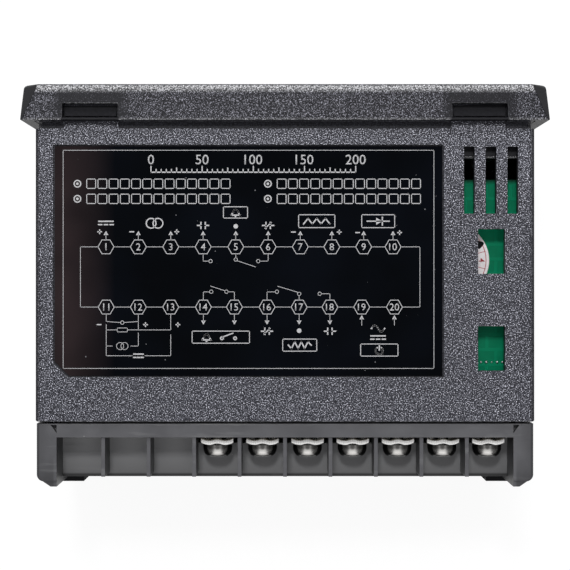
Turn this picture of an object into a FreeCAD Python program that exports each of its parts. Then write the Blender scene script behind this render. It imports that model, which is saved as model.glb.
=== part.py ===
import FreeCAD, Part
import math
import os

from FreeCAD import Vector

# Millimetres. The origin is the centre of the panel cut-out, on the bezel's rear face.
# +X runs along the width, +Y from the front to the rear, and +Z up to the label side.

# Clearances
SLIP = 0.15  # between pieces that slide together
BOARD_GAP = 0.3  # around the edges of a circuit board
KEY_GAP = 0.25  # around a key in its hole
PRESS_GAP = 0.1  # between a moving face and the face that stops it

# Case sleeve
CASE_WIDTH = 91.0
CASE_HEIGHT = 44.0
CASE_LENGTH = 54.8  # from the panel to the rear edge
CASE_WALL = 2.0
CASE_CORNER = 1.0
CASE_ENTRY = 3.6  # reach of the case into the bezel
CASE_REAR_ROUND = 0.3

# Bezel
BEZEL_SIDE = 2.5  # overhang past the case at each short side
BEZEL_TOP = 2.0  # overhang past the case at each long side
BEZEL_DEPTH = 6.6
BEZEL_SIDE_DRAFT = 0.25
BEZEL_TOP_DRAFT = 0.6
BEZEL_REAR_CORNER = 0.4  # straight cut across each corner, which grows towards the front
BEZEL_FRONT_CORNER = 3.0
BEZEL_ROUND = 0.9
SKIRT_WALL = 1.4
SKIRT_REACH = 6.75
SKIRT_CORNER = 0.8
SKIRT_LEAD = 0.4

# Snap latches between bezel and case
LATCH_OFFSET = 35.3
LATCH_WIDTH = 10.0
LATCH_LENGTH = 2.55
LATCH_STRIP = 0.45
NOSE_HEIGHT = 0.9
NOSE_GAP = 0.3

# Groove round the case just behind the bezel
GROOVE_WIDTH = 1.4
GROOVE_DEPTH = 0.5

# Label and its recess
LABEL_MARGIN = 3.3
LABEL_FRONT = 4.35
LABEL_WIDTH = 71.1
LABEL_LENGTH = 42.35
LABEL_CUT = 2.6
LABEL_RECESS = 0.5
LABEL_FILM = 0.2
LABEL_GAP = 0.25

# Openings in the case
VENT_COUNT = 3
VENT_MARGIN = 4.05
VENT_PITCH = 3.95
VENT_WIDTH = 1.9
VENT_FRONT = 4.7
LOWER_VENT_FRONT = 12.0
VENT_LENGTH = 12.2
SIGHT_MARGIN = 7.9
SIGHT_WIDTH = 4.9
SIGHT_LENGTH = 8.15
SIGHT_FRONTS = (19.7, 37.4)

# Clip channel on each short side of the case
CHANNEL_HEIGHT = 12.0
CHANNEL_DEPTH = 0.8
CHANNEL_FRONT = 6.0
TOOTH_COUNT = 12
TOOTH_PITCH = 2.5
TOOTH_HEIGHT = 0.5
TOOTH_FRONT = 18.0

# Board rails inside the case
RAIL_THICKNESS = 1.0
RAIL_REACH = 1.4
RAIL_FRONT = 18.0
RAIL_LENGTH = 31.0

# Main boards
BOARD_THICKNESS = 1.6
BOARD_DROP = 5.4  # from the case's outer face to the board's outer face
BOARD_FRONT = 10.4
STICKER_RADIUS = 6.8
STICKER_THICKNESS = 0.1
STICKER_MARGIN = 14.5
STICKER_Y = 25.3

# Terminal block
CELL_COUNT = 10
BLANK_CELLS = 3
CELL_PITCH = 8.3
CELL_DEPTH = 8.6
CELL_END = 0.5  # extra width of the two end cells
POCKET_GAP = 0.2
DIVIDER = 0.7
DIVIDER_DROP = 0.3
DIVIDER_SETBACK = 0.85
BLOCK_GAP = 0.35
BLOCK_DEPTH = 10.6
BLOCK_SIDE = 0.2
BLOCK_TOP = 0.5
BLOCK_EDGE = 0.3
BLOCK_FLOOR = 1.8
BLOCK_BACK = 2.0
POST_ROUND = 1.3
BAR_DEPTH = 2.55
BAR_LIP = 1.0
SEAT_WALL = 1.05
SPIGOT_LENGTH = 3.85
SPIGOT_WALL = 1.6
SPIGOT_INSET = 4.3
SNAP_LENGTH = 50.0
SNAP_WIDTH = 1.0
SNAP_HEIGHT = 0.45
RIB_REACH = 0.95
RIB_FLAT = 1.15
RIB_WIDTH = 2.55
LUG_WIDTH = 6.0
LUG_REACH = 1.85
LUG_HEIGHT = 10.0
SINK_SETBACK = 0.25
SINK_WIDTH = 1.1
SINK_LENGTH = 1.5
SINK_DEPTH = 1.5

# Terminal screws, clamp plates and contact plates
SCREW_RADIUS = 1.47
SCREW_LENGTH = 5.1
SCREW_TURN_GAP = 0.05
HEAD_RADIUS = 2.7
HEAD_HEIGHT = 2.25
HEAD_EDGE = 1.1
HEAD_FLAT = 1.75
CROSS_WIDTH = 0.8
CROSS_LENGTH = 3.4
CROSS_DEPTH = 1.2
CLAMP_SIDE = 0.85
CLAMP_HEIGHT = 5.4
CLAMP_THICKNESS = 0.7
CLAMP_END_DIP = 0.55
CLAMP_MIDDLE_DIP = 0.4
CLAMP_LIFT = 1.05  # rest gap between a clamp plate's ends and its contact plate
CLAMP_BORE_GAP = 0.15
CONTACT_THICKNESS = 0.8
CONTACT_HEIGHT = 7.2
CONTACT_SIDE = 0.6
CONTACT_BORE_GAP = 0.05
TAIL_WIDTH = 1.2
TAIL_GAP = 0.3
TAIL_LAP = 4.0
WALL_BORE_GAP = 0.4

# Front window
WINDOW_MARGIN = 6.0
WINDOW_TOP = 5.0
WINDOW_HEIGHT = 25.0
WINDOW_POCKET = 1.6
WINDOW_THICKNESS = 1.4
WINDOW_LEDGE = 1.2
WINDOW_CORNER = 1.2

# Displays and their board
DISPLAY_DEPTH = 8.0
DISPLAY_GAP = 0.2
DISPLAY_SIDE = 0.4
PV_WIDTH = 50.3
PV_HEIGHT = 19.0
SV_WIDTH = 30.0
SV_HEIGHT = 14.0
LAMP_COUNT = 5
LAMP_PITCH = 5.75
LAMP_WIDTH = 3.0
LAMP_HEIGHT = 1.6
LAMP_DROP = 2.6
BOSS_RADIUS = 2.2
BOSS_INSET = 3.8
PILOT_RADIUS = 0.9
LEDGE_HEIGHT = 1.6
LEDGE_WIDTH = 4.0
LEDGE_OFFSET = 30.0
BOARD_SCREW_RADIUS = 0.85
BOARD_SCREW_LENGTH = 6.0
BOARD_SCREW_HEAD = 1.9
BOARD_SCREW_HEAD_HEIGHT = 1.4
BOARD_SCREW_HOLE = 1.1

# Keys
KEY_NAMES = ("key_set", "key_shift", "key_down", "key_up")
KEY_PITCH = 18.0
KEY_RISE = 11.0  # from the bezel's lower edge to the keys' centre line
KEY_WIDTH = 12.0
KEY_HEIGHT = 6.0
KEY_CORNER = 1.2
KEY_PROUD = 0.8
KEY_ROUND = 0.5
KEY_FLANGE = 0.7
KEY_FLANGE_THICKNESS = 0.8
KEY_TRAVEL = 0.5
STEM_RADIUS = 1.6
STEM_ENTRY = 0.5
SWITCH_SIZE = 6.0
SWITCH_DEPTH = 3.5

# Parts on the main boards
HEADER_LENGTH = 31.0
HEADER_SIZE = 2.5
HEADER_PINS = 12
HEADER_PITCH = 2.54
HEADER_SETBACK = 0.4
PIN_SIZE = 0.64
RELAY_SIZE = (15.5, 19.0, 15.3)
RELAY_SPOTS = ((28.0, 40.5), (10.0, 40.5), (-8.0, 40.5))
RELAY_ROUND = 0.5
CORE_SIZE = (19.0, 5.0, 15.0)
CORE_LIMB = 2.6
CORE_SPOT = (-22.0, 23.0)
BOBBIN_DEPTH = 14.0
BOBBIN_FLANGE = 0.9
BOBBIN_CLEARANCE = 0.15
WINDING_DEPTH = 11.5
CAPACITORS = ((8.0, 22.0, 5.0, 14.0), (21.0, 21.0, 4.0, 11.0), (31.5, 21.0, 3.2, 9.0))
CAPACITOR_EDGE = 0.6
OPTO_SIZE = (4.6, 6.5, 3.6)
OPTO_SPOTS = ((-30.0, 43.0), (-18.0, 43.0), (-6.0, 43.0))
CONVERTER_SIZE = (10.0, 4.0, 1.6)
CONVERTER_SPOT = (15.0, 40.0)
PROCESSOR_SIZE = 10.0
PROCESSOR_THICKNESS = 1.5
PROCESSOR_SPOT = (-18.0, 2.0)

# Places that several pieces share
case_x = CASE_WIDTH / 2
case_z = CASE_HEIGHT / 2
inner_x = case_x - CASE_WALL
inner_z = case_z - CASE_WALL
bezel_x = case_x + BEZEL_SIDE
bezel_z = case_z + BEZEL_TOP
bezel_front = -BEZEL_DEPTH
plate_rear = -CASE_ENTRY - PRESS_GAP
skirt_x = inner_x - SLIP
skirt_z = inner_z - SLIP
hollow_x = skirt_x - SKIRT_WALL
hollow_z = skirt_z - SKIRT_WALL

board_outer = case_z - BOARD_DROP
board_inner = board_outer - BOARD_THICKNESS
board_x = inner_x - BOARD_GAP

block_x = case_x - BLOCK_SIDE
block_z = case_z - BLOCK_TOP
block_front = CASE_LENGTH + BLOCK_GAP
block_rear = block_front + BLOCK_DEPTH
bar_rear = block_front + BAR_DEPTH
seat = block_front + SEAT_WALL
cell_half = (CELL_PITCH - DIVIDER) / 2
cells_x = (CELL_COUNT * CELL_PITCH - DIVIDER) / 2 + CELL_END
cell_floor = block_z - CELL_DEPTH
cavity_z = cell_floor - BLOCK_FLOOR
spigot_front = block_front - SPIGOT_LENGTH
spigot_x = case_x - SPIGOT_INSET
spigot_z = inner_z - SLIP
snap_y = block_front - SPIGOT_LENGTH / 2
snap_gap = SNAP_HEIGHT - SLIP

screw_z = cell_floor + CONTACT_HEIGHT / 2
contact_rear = seat + CONTACT_THICKNESS
clamp_rear = contact_rear + CLAMP_LIFT + CLAMP_END_DIP + CLAMP_THICKNESS
pocket_rear = clamp_rear + POCKET_GAP
head_front = clamp_rear + SCREW_TURN_GAP
screw_tip = head_front - SCREW_LENGTH
board_rear = screw_tip - CLAMP_LIFT - BOARD_GAP
tail_start = SCREW_RADIUS + TAIL_GAP

window_x = bezel_x - WINDOW_MARGIN
window_high = bezel_z - WINDOW_TOP
window_z = window_high - WINDOW_HEIGHT / 2
ledge_y = bezel_front + WINDOW_POCKET
display_front = ledge_y + DISPLAY_GAP
display_board_front = display_front + DISPLAY_DEPTH
display_board_rear = display_board_front + BOARD_THICKNESS
boss_x = hollow_x - BOSS_INSET
boss_z = -hollow_z + BOSS_INSET
key_z = KEY_RISE - bezel_z
switch_front = display_board_front - SWITCH_DEPTH
stem_tip = switch_front + STEM_ENTRY
key_places = [(index - (len(KEY_NAMES) - 1) / 2) * KEY_PITCH for index in range(len(KEY_NAMES))]


def slab(x, y, z):
    """Block between the low and the high value given for each axis."""
    return Part.makeBox(x[1] - x[0], y[1] - y[0], z[1] - z[0], Vector(x[0], y[0], z[0]))


def rod(radius, x, y, z):
    """Round bar along Y between the front and the rear value of y."""
    return Part.makeCylinder(radius, y[1] - y[0], Vector(x, y[0], z), Vector(0, 1, 0))


def rounded_outline(half_x, half_z, radius, y):
    """Rectangle with round corners in a plane across the Y axis."""
    arcs = []
    for index, (side_x, side_z) in enumerate(((1, 1), (-1, 1), (-1, -1), (1, -1))):
        centre = Vector(side_x * (half_x - radius), y, side_z * (half_z - radius))
        points = []
        for step in range(3):
            angle = math.radians(90 * index + 45 * step)
            points.append(centre + Vector(radius * math.cos(angle), 0, radius * math.sin(angle)))
        arcs.append(points)
    edges = []
    for index, points in enumerate(arcs):
        following = arcs[(index + 1) % 4]
        edges.append(Part.Arc(*points).toShape())
        edges.append(Part.makeLine(points[2], following[0]))
    return Part.Wire(edges)


def cut_outline(half_x, half_z, cut, y):
    """Rectangle with straight-cut corners in a plane across the Y axis."""
    points = []
    for side_x, side_z in ((1, 1), (-1, 1), (-1, -1), (1, -1)):
        on_long_side = Vector(side_x * (half_x - cut), y, side_z * half_z)
        on_short_side = Vector(side_x * half_x, y, side_z * (half_z - cut))
        corner = [on_short_side, on_long_side]
        points += corner if side_x == side_z else corner[::-1]
    return Part.makePolygon(points + points[:1])


def rounded_bar(half_x, half_z, radius, y, x=0.0, z=0.0):
    """Bar along Y with a rounded rectangular section about the given x and z."""
    face = Part.Face(rounded_outline(half_x, half_z, radius, y[0]))
    bar = face.extrude(Vector(0, y[1] - y[0], 0))
    bar.translate(Vector(x, 0, z))
    return bar


def prism(points, direction):
    """Straight prism from a polygon of points."""
    return Part.Face(Part.makePolygon(points + points[:1])).extrude(direction)


def flipped(shape):
    """The same shape on the underside."""
    return shape.mirror(Vector(0, 0, 0), Vector(0, 0, 1))


def both_rows(shapes):
    """The given shapes with their copies on the underside."""
    return shapes + [flipped(shape) for shape in shapes]


def edges_at(shape, x=None, y=None, z=None):
    """Edges that lie wholly at each coordinate given."""
    chosen = []
    for edge in shape.Edges:
        box = edge.BoundBox
        spans = ((x, box.XMin, box.XMax), (y, box.YMin, box.YMax), (z, box.ZMin, box.ZMax))
        if all(at is None or abs(low - at) + abs(high - at) < 0.002 for at, low, high in spans):
            chosen.append(edge)
    return chosen


def joined(shape, others):
    """One solid from pieces that touch."""
    return shape.fuse(others).removeSplitter()


def cell_x(index):
    """Centre of a terminal cell, counted from the +X end."""
    return ((CELL_COUNT - 1) / 2 - index) * CELL_PITCH


def make_bezel():
    rear = cut_outline(bezel_x, bezel_z, BEZEL_REAR_CORNER, 0)
    front_x = bezel_x - BEZEL_SIDE_DRAFT
    front_z = bezel_z - BEZEL_TOP_DRAFT
    front = cut_outline(front_x, front_z, BEZEL_FRONT_CORNER, bezel_front)
    body = Part.makeLoft([rear, front], True, True)
    body = body.makeFillet(BEZEL_ROUND, edges_at(body, y=bezel_front))

    sleeve = rounded_bar(case_x + SLIP, case_z + SLIP, CASE_CORNER, (plate_rear, 1))
    body = body.cut(sleeve)
    skirt = rounded_bar(skirt_x, skirt_z, SKIRT_CORNER, (plate_rear, SKIRT_REACH))
    skirt = skirt.makeChamfer(SKIRT_LEAD, edges_at(skirt, y=SKIRT_REACH))
    hollow = rounded_bar(hollow_x, hollow_z, SKIRT_CORNER, (plate_rear, SKIRT_REACH + 1))
    supports = []
    for side in (-1, 1):
        supports.append(rod(BOSS_RADIUS, side * boss_x, (plate_rear, display_board_front), boss_z))
        ledge_x = side * LEDGE_OFFSET
        supports.append(slab(
            (ledge_x - LEDGE_WIDTH / 2, ledge_x + LEDGE_WIDTH / 2),
            (plate_rear, display_board_front),
            (hollow_z - LEDGE_HEIGHT, hollow_z)))
    body = joined(body, [skirt.cut(hollow)] + supports)

    openings = []
    for side in (-1, 1):
        pilot_depth = (display_board_rear - BOARD_SCREW_LENGTH - PRESS_GAP, display_board_front)
        openings.append(rod(PILOT_RADIUS, side * boss_x, pilot_depth, boss_z))
        latch_x = side * LATCH_OFFSET
        window = slab(
            (latch_x - LATCH_WIDTH / 2, latch_x + LATCH_WIDTH / 2),
            (-LATCH_STRIP - LATCH_LENGTH, -LATCH_STRIP),
            (case_z, bezel_z + 1))
        openings += both_rows([window])
    for x in key_places:
        half_x = KEY_WIDTH / 2 + KEY_GAP
        half_z = KEY_HEIGHT / 2 + KEY_GAP
        openings.append(rounded_bar(half_x, half_z, KEY_CORNER, (bezel_front - 1, plate_rear), x, key_z))
    openings.append(rounded_bar(
        window_x, WINDOW_HEIGHT / 2, WINDOW_CORNER, (bezel_front - 1, ledge_y), 0, window_z))
    openings.append(rounded_bar(
        window_x - WINDOW_LEDGE, WINDOW_HEIGHT / 2 - WINDOW_LEDGE, WINDOW_CORNER,
        (bezel_front, plate_rear), 0, window_z))
    return body.cut(openings)


def make_display_window():
    return rounded_bar(
        window_x - SLIP, WINDOW_HEIGHT / 2 - SLIP, WINDOW_CORNER, (ledge_y - WINDOW_THICKNESS, ledge_y),
        0, window_z)


def make_case():
    body = rounded_bar(case_x, case_z, CASE_CORNER, (-CASE_ENTRY, CASE_LENGTH))
    body = body.makeFillet(CASE_REAR_ROUND, edges_at(body, y=CASE_LENGTH))
    inside = rounded_bar(inner_x, inner_z, CASE_CORNER / 2, (-CASE_ENTRY - 1, CASE_LENGTH + 1))

    additions = []
    for side in (-1, 1):
        latch_x = side * LATCH_OFFSET
        nose_half = LATCH_WIDTH / 2 - NOSE_GAP
        nose_front = -LATCH_STRIP - LATCH_LENGTH + NOSE_GAP
        nose_rear = -LATCH_STRIP - NOSE_GAP
        nose = prism(
            [
                Vector(latch_x - nose_half, nose_front, case_z),
                Vector(latch_x - nose_half, nose_rear, case_z + NOSE_HEIGHT),
                Vector(latch_x - nose_half, nose_rear, case_z - CASE_WALL / 2),
                Vector(latch_x - nose_half, nose_front, case_z - CASE_WALL / 2),
            ],
            Vector(2 * nose_half, 0, 0))
        additions += both_rows([nose])
        rail_x = sorted((side * inner_x, side * (inner_x - RAIL_REACH)))
        rail_y = (RAIL_FRONT, RAIL_FRONT + RAIL_LENGTH)
        upper_rail = slab(rail_x, rail_y, (board_outer + SLIP, board_outer + SLIP + RAIL_THICKNESS))
        lower_rail = slab(rail_x, rail_y, (board_inner - SLIP - RAIL_THICKNESS, board_inner - SLIP))
        additions += both_rows([upper_rail, lower_rail])

    groove = rounded_bar(case_x + 1, case_z + 1, CASE_CORNER, (0, GROOVE_WIDTH))
    core = rounded_bar(case_x - GROOVE_DEPTH, case_z - GROOVE_DEPTH, CASE_CORNER, (0, GROOVE_WIDTH))
    groove = groove.cut(core)
    for side in (-1, 1):
        pad_x = side * LATCH_OFFSET
        pad_half = LATCH_WIDTH / 2
        groove = groove.cut(slab(
            (pad_x - pad_half, pad_x + pad_half), (-1, GROOVE_WIDTH + 1), (-case_z - 2, case_z + 2)))

    openings = [inside, groove, label_shape(0, LABEL_RECESS + 1, case_z - LABEL_RECESS)]
    for index in range(VENT_COUNT):
        x = -case_x + VENT_MARGIN + index * VENT_PITCH
        for row, front in ((1, VENT_FRONT), (-1, LOWER_VENT_FRONT)):
            openings.append(slab(
                (x - VENT_WIDTH / 2, x + VENT_WIDTH / 2), (front, front + VENT_LENGTH),
                sorted((row * (inner_z - 0.1), row * (case_z + 1)))))
    sight_x = -case_x + SIGHT_MARGIN
    for front in SIGHT_FRONTS:
        openings.append(slab(
            (sight_x - SIGHT_WIDTH / 2, sight_x + SIGHT_WIDTH / 2), (front, front + SIGHT_LENGTH),
            (inner_z - 0.1, case_z + 1)))
    openings += both_rows([slab(
        (-SNAP_LENGTH / 2 - SLIP, SNAP_LENGTH / 2 + SLIP),
        (snap_y - SNAP_WIDTH / 2 - SLIP, snap_y + SNAP_WIDTH / 2 + SLIP),
        (inner_z - 0.1, inner_z + SNAP_HEIGHT))])
    for side in (-1, 1):
        channel_x = sorted((side * (case_x - CHANNEL_DEPTH), side * (case_x + 1)))
        channel = slab(
            channel_x, (CHANNEL_FRONT, CASE_LENGTH + 1), (-CHANNEL_HEIGHT / 2, CHANNEL_HEIGHT / 2))
        openings.append(channel.cut(tooth_rack(side)))
    return joined(body.cut(openings), additions)


def tooth_rack(side):
    """Saw teeth on the floor of a clip channel."""
    low = side * (case_x - CHANNEL_DEPTH)
    high = low + side * TOOTH_HEIGHT
    points = [Vector(low - side, TOOTH_FRONT, -CHANNEL_HEIGHT / 2)]
    for index in range(TOOTH_COUNT):
        y = TOOTH_FRONT + index * TOOTH_PITCH
        points.append(Vector(low, y, -CHANNEL_HEIGHT / 2))
        points.append(Vector(high, y + TOOTH_PITCH, -CHANNEL_HEIGHT / 2))
    last_y = TOOTH_FRONT + TOOTH_COUNT * TOOTH_PITCH
    points.append(Vector(low - side, last_y, -CHANNEL_HEIGHT / 2))
    return prism(points, Vector(0, 0, CHANNEL_HEIGHT))


def label_shape(inset, thickness, z):
    """Label outline with its one cut corner, drawn in from the recess and raised from z."""
    low_x = case_x - LABEL_MARGIN - LABEL_WIDTH + inset
    high_x = case_x - LABEL_MARGIN - inset
    low_y = LABEL_FRONT + inset
    high_y = LABEL_FRONT + LABEL_LENGTH - inset
    points = [
        Vector(low_x, low_y, z),
        Vector(high_x, low_y, z),
        Vector(high_x, high_y - LABEL_CUT, z),
        Vector(high_x - LABEL_CUT, high_y, z),
        Vector(low_x, high_y, z),
    ]
    return prism(points, Vector(0, 0, thickness))


def make_display_board():
    board = slab(
        (-hollow_x + BOARD_GAP, hollow_x - BOARD_GAP), (display_board_front, display_board_rear),
        (-hollow_z + BOARD_GAP, hollow_z - BOARD_GAP))
    depth = (display_board_front - 1, display_board_rear + 1)
    return board.cut([rod(BOARD_SCREW_HOLE, side * boss_x, depth, boss_z) for side in (-1, 1)])


def make_board_screws():
    screws = []
    for side in (-1, 1):
        shank = rod(
            BOARD_SCREW_RADIUS, side * boss_x,
            (display_board_rear - BOARD_SCREW_LENGTH, display_board_rear), boss_z)
        head = rod(
            BOARD_SCREW_HEAD, side * boss_x,
            (display_board_rear, display_board_rear + BOARD_SCREW_HEAD_HEIGHT), boss_z)
        screws.append(shank.fuse(head))
    return screws


def make_pv_display():
    left = -window_x + WINDOW_LEDGE + DISPLAY_SIDE
    return slab(
        (left, left + PV_WIDTH), (display_front, display_board_front),
        (window_z - PV_HEIGHT / 2, window_z + PV_HEIGHT / 2))


def make_sv_display():
    right = window_x - WINDOW_LEDGE - DISPLAY_SIDE
    top = window_z + PV_HEIGHT / 2
    return slab((right - SV_WIDTH, right), (display_front, display_board_front), (top - SV_HEIGHT, top))


def make_indicator_lamps():
    centre = window_x - WINDOW_LEDGE - DISPLAY_SIDE - SV_WIDTH / 2
    z = window_z + PV_HEIGHT / 2 - SV_HEIGHT - LAMP_DROP
    lamps = []
    for index in range(LAMP_COUNT):
        x = centre + (index - (LAMP_COUNT - 1) / 2) * LAMP_PITCH
        lamps.append(slab(
            (x - LAMP_WIDTH / 2, x + LAMP_WIDTH / 2), (display_front, display_board_front),
            (z - LAMP_HEIGHT / 2, z + LAMP_HEIGHT / 2)))
    return lamps


def make_key_switches():
    switches = []
    for x in key_places:
        body = rounded_bar(
            SWITCH_SIZE / 2, SWITCH_SIZE / 2, 0.5, (switch_front, display_board_front), x, key_z)
        well = (switch_front - 1, stem_tip + KEY_TRAVEL + PRESS_GAP)
        switches.append(body.cut(rod(STEM_RADIUS + PRESS_GAP, x, well, key_z)))
    return switches


def make_key(x):
    cap_front = bezel_front - KEY_PROUD
    flange_front = plate_rear + PRESS_GAP
    flange_rear = flange_front + KEY_FLANGE_THICKNESS
    cap = rounded_bar(KEY_WIDTH / 2, KEY_HEIGHT / 2, KEY_CORNER, (cap_front, flange_front), x, key_z)
    cap = cap.makeFillet(KEY_ROUND, edges_at(cap, y=cap_front))
    flange = rounded_bar(
        KEY_WIDTH / 2 + KEY_FLANGE, KEY_HEIGHT / 2 + KEY_FLANGE, KEY_CORNER,
        (flange_front, flange_rear), x, key_z)
    stem = rod(STEM_RADIUS, x, (flange_rear, stem_tip), key_z)
    return joined(cap, [flange, stem])


def make_upper_board():
    wide = slab((-board_x, board_x), (BOARD_FRONT, spigot_front - BOARD_GAP), (board_inner, board_outer))
    tongue_x = spigot_x - SPIGOT_WALL - BOARD_GAP
    tongue = slab((-tongue_x, tongue_x), (BOARD_FRONT, board_rear), (board_inner, board_outer))
    return joined(wide, [tongue])


def make_quality_sticker():
    x = -case_x + STICKER_MARGIN
    return Part.makeCylinder(STICKER_RADIUS, STICKER_THICKNESS, Vector(x, STICKER_Y, board_outer))


def make_board_headers():
    front = BOARD_FRONT + HEADER_SETBACK
    low = board_inner - HEADER_SIZE
    middle = board_inner - HEADER_SIZE / 2
    housing = slab(
        (-HEADER_LENGTH / 2, HEADER_LENGTH / 2), (front, front + HEADER_SIZE), (low, board_inner))
    pins = []
    for index in range(HEADER_PINS):
        x = (index - (HEADER_PINS - 1) / 2) * HEADER_PITCH
        pins.append(slab(
            (x - PIN_SIZE / 2, x + PIN_SIZE / 2), (display_board_rear, front),
            (middle - PIN_SIZE / 2, middle + PIN_SIZE / 2)))
    return both_rows([joined(housing, pins)])


def make_relays():
    width, length, height = RELAY_SIZE
    relays = []
    for x, y in RELAY_SPOTS:
        body = slab(
            (x - width / 2, x + width / 2), (y - length / 2, y + length / 2),
            (board_inner - height, board_inner))
        relays.append(body.makeFillet(RELAY_ROUND, edges_at(body, z=board_inner - height)))
    return relays


def make_transformer_core():
    x, y = CORE_SPOT
    width, depth, height = CORE_SIZE
    low = -board_inner
    core = slab((x - width / 2, x + width / 2), (y - depth / 2, y + depth / 2), (low, low + height))
    gap_x = (x - width / 2 + CORE_LIMB, x + width / 2 - CORE_LIMB)
    gap_y = (y - depth, y + depth)
    middle = low + height / 2
    windows = [
        slab(gap_x, gap_y, (low + CORE_LIMB, middle - CORE_LIMB)),
        slab(gap_x, gap_y, (middle + CORE_LIMB, low + height - CORE_LIMB)),
    ]
    return core.cut(windows)


def make_transformer_bobbin():
    x, y = CORE_SPOT
    width, depth, height = CORE_SIZE
    middle = -board_inner + height / 2
    half_x = width / 2 - CORE_LIMB - BOBBIN_CLEARANCE
    half_z = height / 2 - CORE_LIMB - BOBBIN_CLEARANCE
    winding = rounded_bar(half_x, half_z, 0.5, (y - WINDING_DEPTH / 2, y + WINDING_DEPTH / 2), x, middle)
    pieces = []
    for side in (-1, 1):
        end = x + side * half_x
        flange_x = sorted((end, end - side * BOBBIN_FLANGE))
        pieces.append(slab(
            flange_x, (y - BOBBIN_DEPTH / 2, y + BOBBIN_DEPTH / 2), (middle - half_z, middle + half_z)))
    hole = slab(
        (x - width, x + width),
        (y - depth / 2 - BOBBIN_CLEARANCE, y + depth / 2 + BOBBIN_CLEARANCE),
        (middle - CORE_LIMB - BOBBIN_CLEARANCE, middle + CORE_LIMB + BOBBIN_CLEARANCE))
    return joined(winding, pieces).cut(hole)


def make_capacitors():
    capacitors = []
    for x, y, radius, height in CAPACITORS:
        can = Part.makeCylinder(radius, height, Vector(x, y, -board_inner))
        capacitors.append(can.makeChamfer(CAPACITOR_EDGE, edges_at(can, z=height - board_inner)))
    return capacitors


def make_integrated_circuits():
    chips = []
    width, length, height = OPTO_SIZE
    for x, y in OPTO_SPOTS:
        chips.append(slab(
            (x - width / 2, x + width / 2), (y - length / 2, y + length / 2),
            (-board_inner, height - board_inner)))
    width, length, height = CONVERTER_SIZE
    x, y = CONVERTER_SPOT
    chips.append(slab(
        (x - width / 2, x + width / 2), (y - length / 2, y + length / 2),
        (-board_inner, height - board_inner)))
    x, z = PROCESSOR_SPOT
    chips.append(slab(
        (x - PROCESSOR_SIZE / 2, x + PROCESSOR_SIZE / 2),
        (display_board_rear, display_board_rear + PROCESSOR_THICKNESS),
        (z - PROCESSOR_SIZE / 2, z + PROCESSOR_SIZE / 2)))
    return chips


def make_terminal_block():
    body = slab((-block_x, block_x), (block_front, block_rear), (-block_z, block_z))
    corners = edges_at(body, x=block_x, y=block_rear) + edges_at(body, x=-block_x, y=block_rear)
    body = body.makeFillet(POST_ROUND, corners)
    rims = edges_at(body, z=block_z) + edges_at(body, z=-block_z)
    body = body.makeFillet(BLOCK_EDGE, rims)

    spigot = rounded_bar(spigot_x, spigot_z, CASE_CORNER, (spigot_front, block_front))
    additions = [spigot]
    additions += both_rows([slab(
        (-SNAP_LENGTH / 2, SNAP_LENGTH / 2), (snap_y - SNAP_WIDTH / 2, snap_y + SNAP_WIDTH / 2),
        (spigot_z, spigot_z + snap_gap))])
    for side in (-1, 1):
        low_z = -block_z + BLOCK_EDGE
        additions.append(prism(
            [
                Vector(side * cells_x, block_rear - BLOCK_BACK, low_z),
                Vector(side * cells_x, block_rear + RIB_REACH, low_z),
                Vector(side * (cells_x + RIB_FLAT), block_rear + RIB_REACH, low_z),
                Vector(side * (cells_x + RIB_WIDTH), block_rear, low_z),
                Vector(side * (cells_x + RIB_FLAT), block_rear - BLOCK_BACK, low_z),
            ],
            Vector(0, 0, -2 * low_z)))
        lug_x = sorted((side * (cells_x + LUG_WIDTH / 2), side * (cells_x - LUG_WIDTH / 2)))
        additions.append(slab(
            lug_x, (block_rear - BLOCK_BACK, block_rear + LUG_REACH), (-LUG_HEIGHT / 2, LUG_HEIGHT / 2)))
    body = joined(body, additions)

    neck_x = spigot_x - SPIGOT_WALL
    neck_z = spigot_z - SPIGOT_WALL
    openings = [
        slab((-neck_x, neck_x), (spigot_front - 1, block_front), (-neck_z, neck_z)),
        slab((-neck_x, neck_x), (block_front - 1, block_rear - BLOCK_BACK), (-cavity_z, cavity_z)),
    ]
    upper = []
    lower = []
    for index in range(CELL_COUNT):
        upper += cell_openings(cell_x(index), index >= BLANK_CELLS)
        lower += cell_openings(cell_x(index), True)
    shared = [
        slab((-cells_x, cells_x), (bar_rear, block_rear + 1), (block_z - DIVIDER_DROP, block_z + 1)),
        slab((-cells_x, cells_x), (block_rear - DIVIDER_SETBACK, block_rear + 1), (cell_floor, block_z + 1)),
    ]
    for side in (-1, 1):
        end_x = sorted((side * cells_x, side * (cells_x - CELL_PITCH / 2)))
        shared.append(slab(end_x, (bar_rear, block_rear + 2), (cell_floor, block_z + 1)))
        start = block_front + SINK_SETBACK
        top = block_z - SINK_DEPTH
        shared.append(prism(
            [
                Vector(side * cells_x, start, top),
                Vector(side * (cells_x + SINK_WIDTH), start, top),
                Vector(side * cells_x, start + SINK_LENGTH, top),
            ],
            Vector(0, 0, SINK_DEPTH + 1)))
    openings += both_rows(shared) + upper + [flipped(shape) for shape in lower]
    return body.cut(openings)


def cell_openings(x, fitted):
    """What is cut from the block's upper side for one cell."""
    cell = (x - cell_half, x + cell_half)
    cut = [slab(cell, (bar_rear, block_rear + 2), (cell_floor, block_z + 1))]
    if fitted:
        cut.append(slab(cell, (seat, bar_rear + 1), (cell_floor, block_z - BAR_LIP)))
        cut.append(slab(cell, (contact_rear, pocket_rear), (cavity_z - PRESS_GAP, cell_floor)))
        cut.append(rod(SCREW_RADIUS + WALL_BORE_GAP, x, (block_front - 1, seat), screw_z))
        cut.append(slab(
            tail_span(x, SLIP), (block_front - 1, seat),
            (board_outer - SLIP, board_outer + CONTACT_THICKNESS + SLIP)))
    return cut


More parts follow.
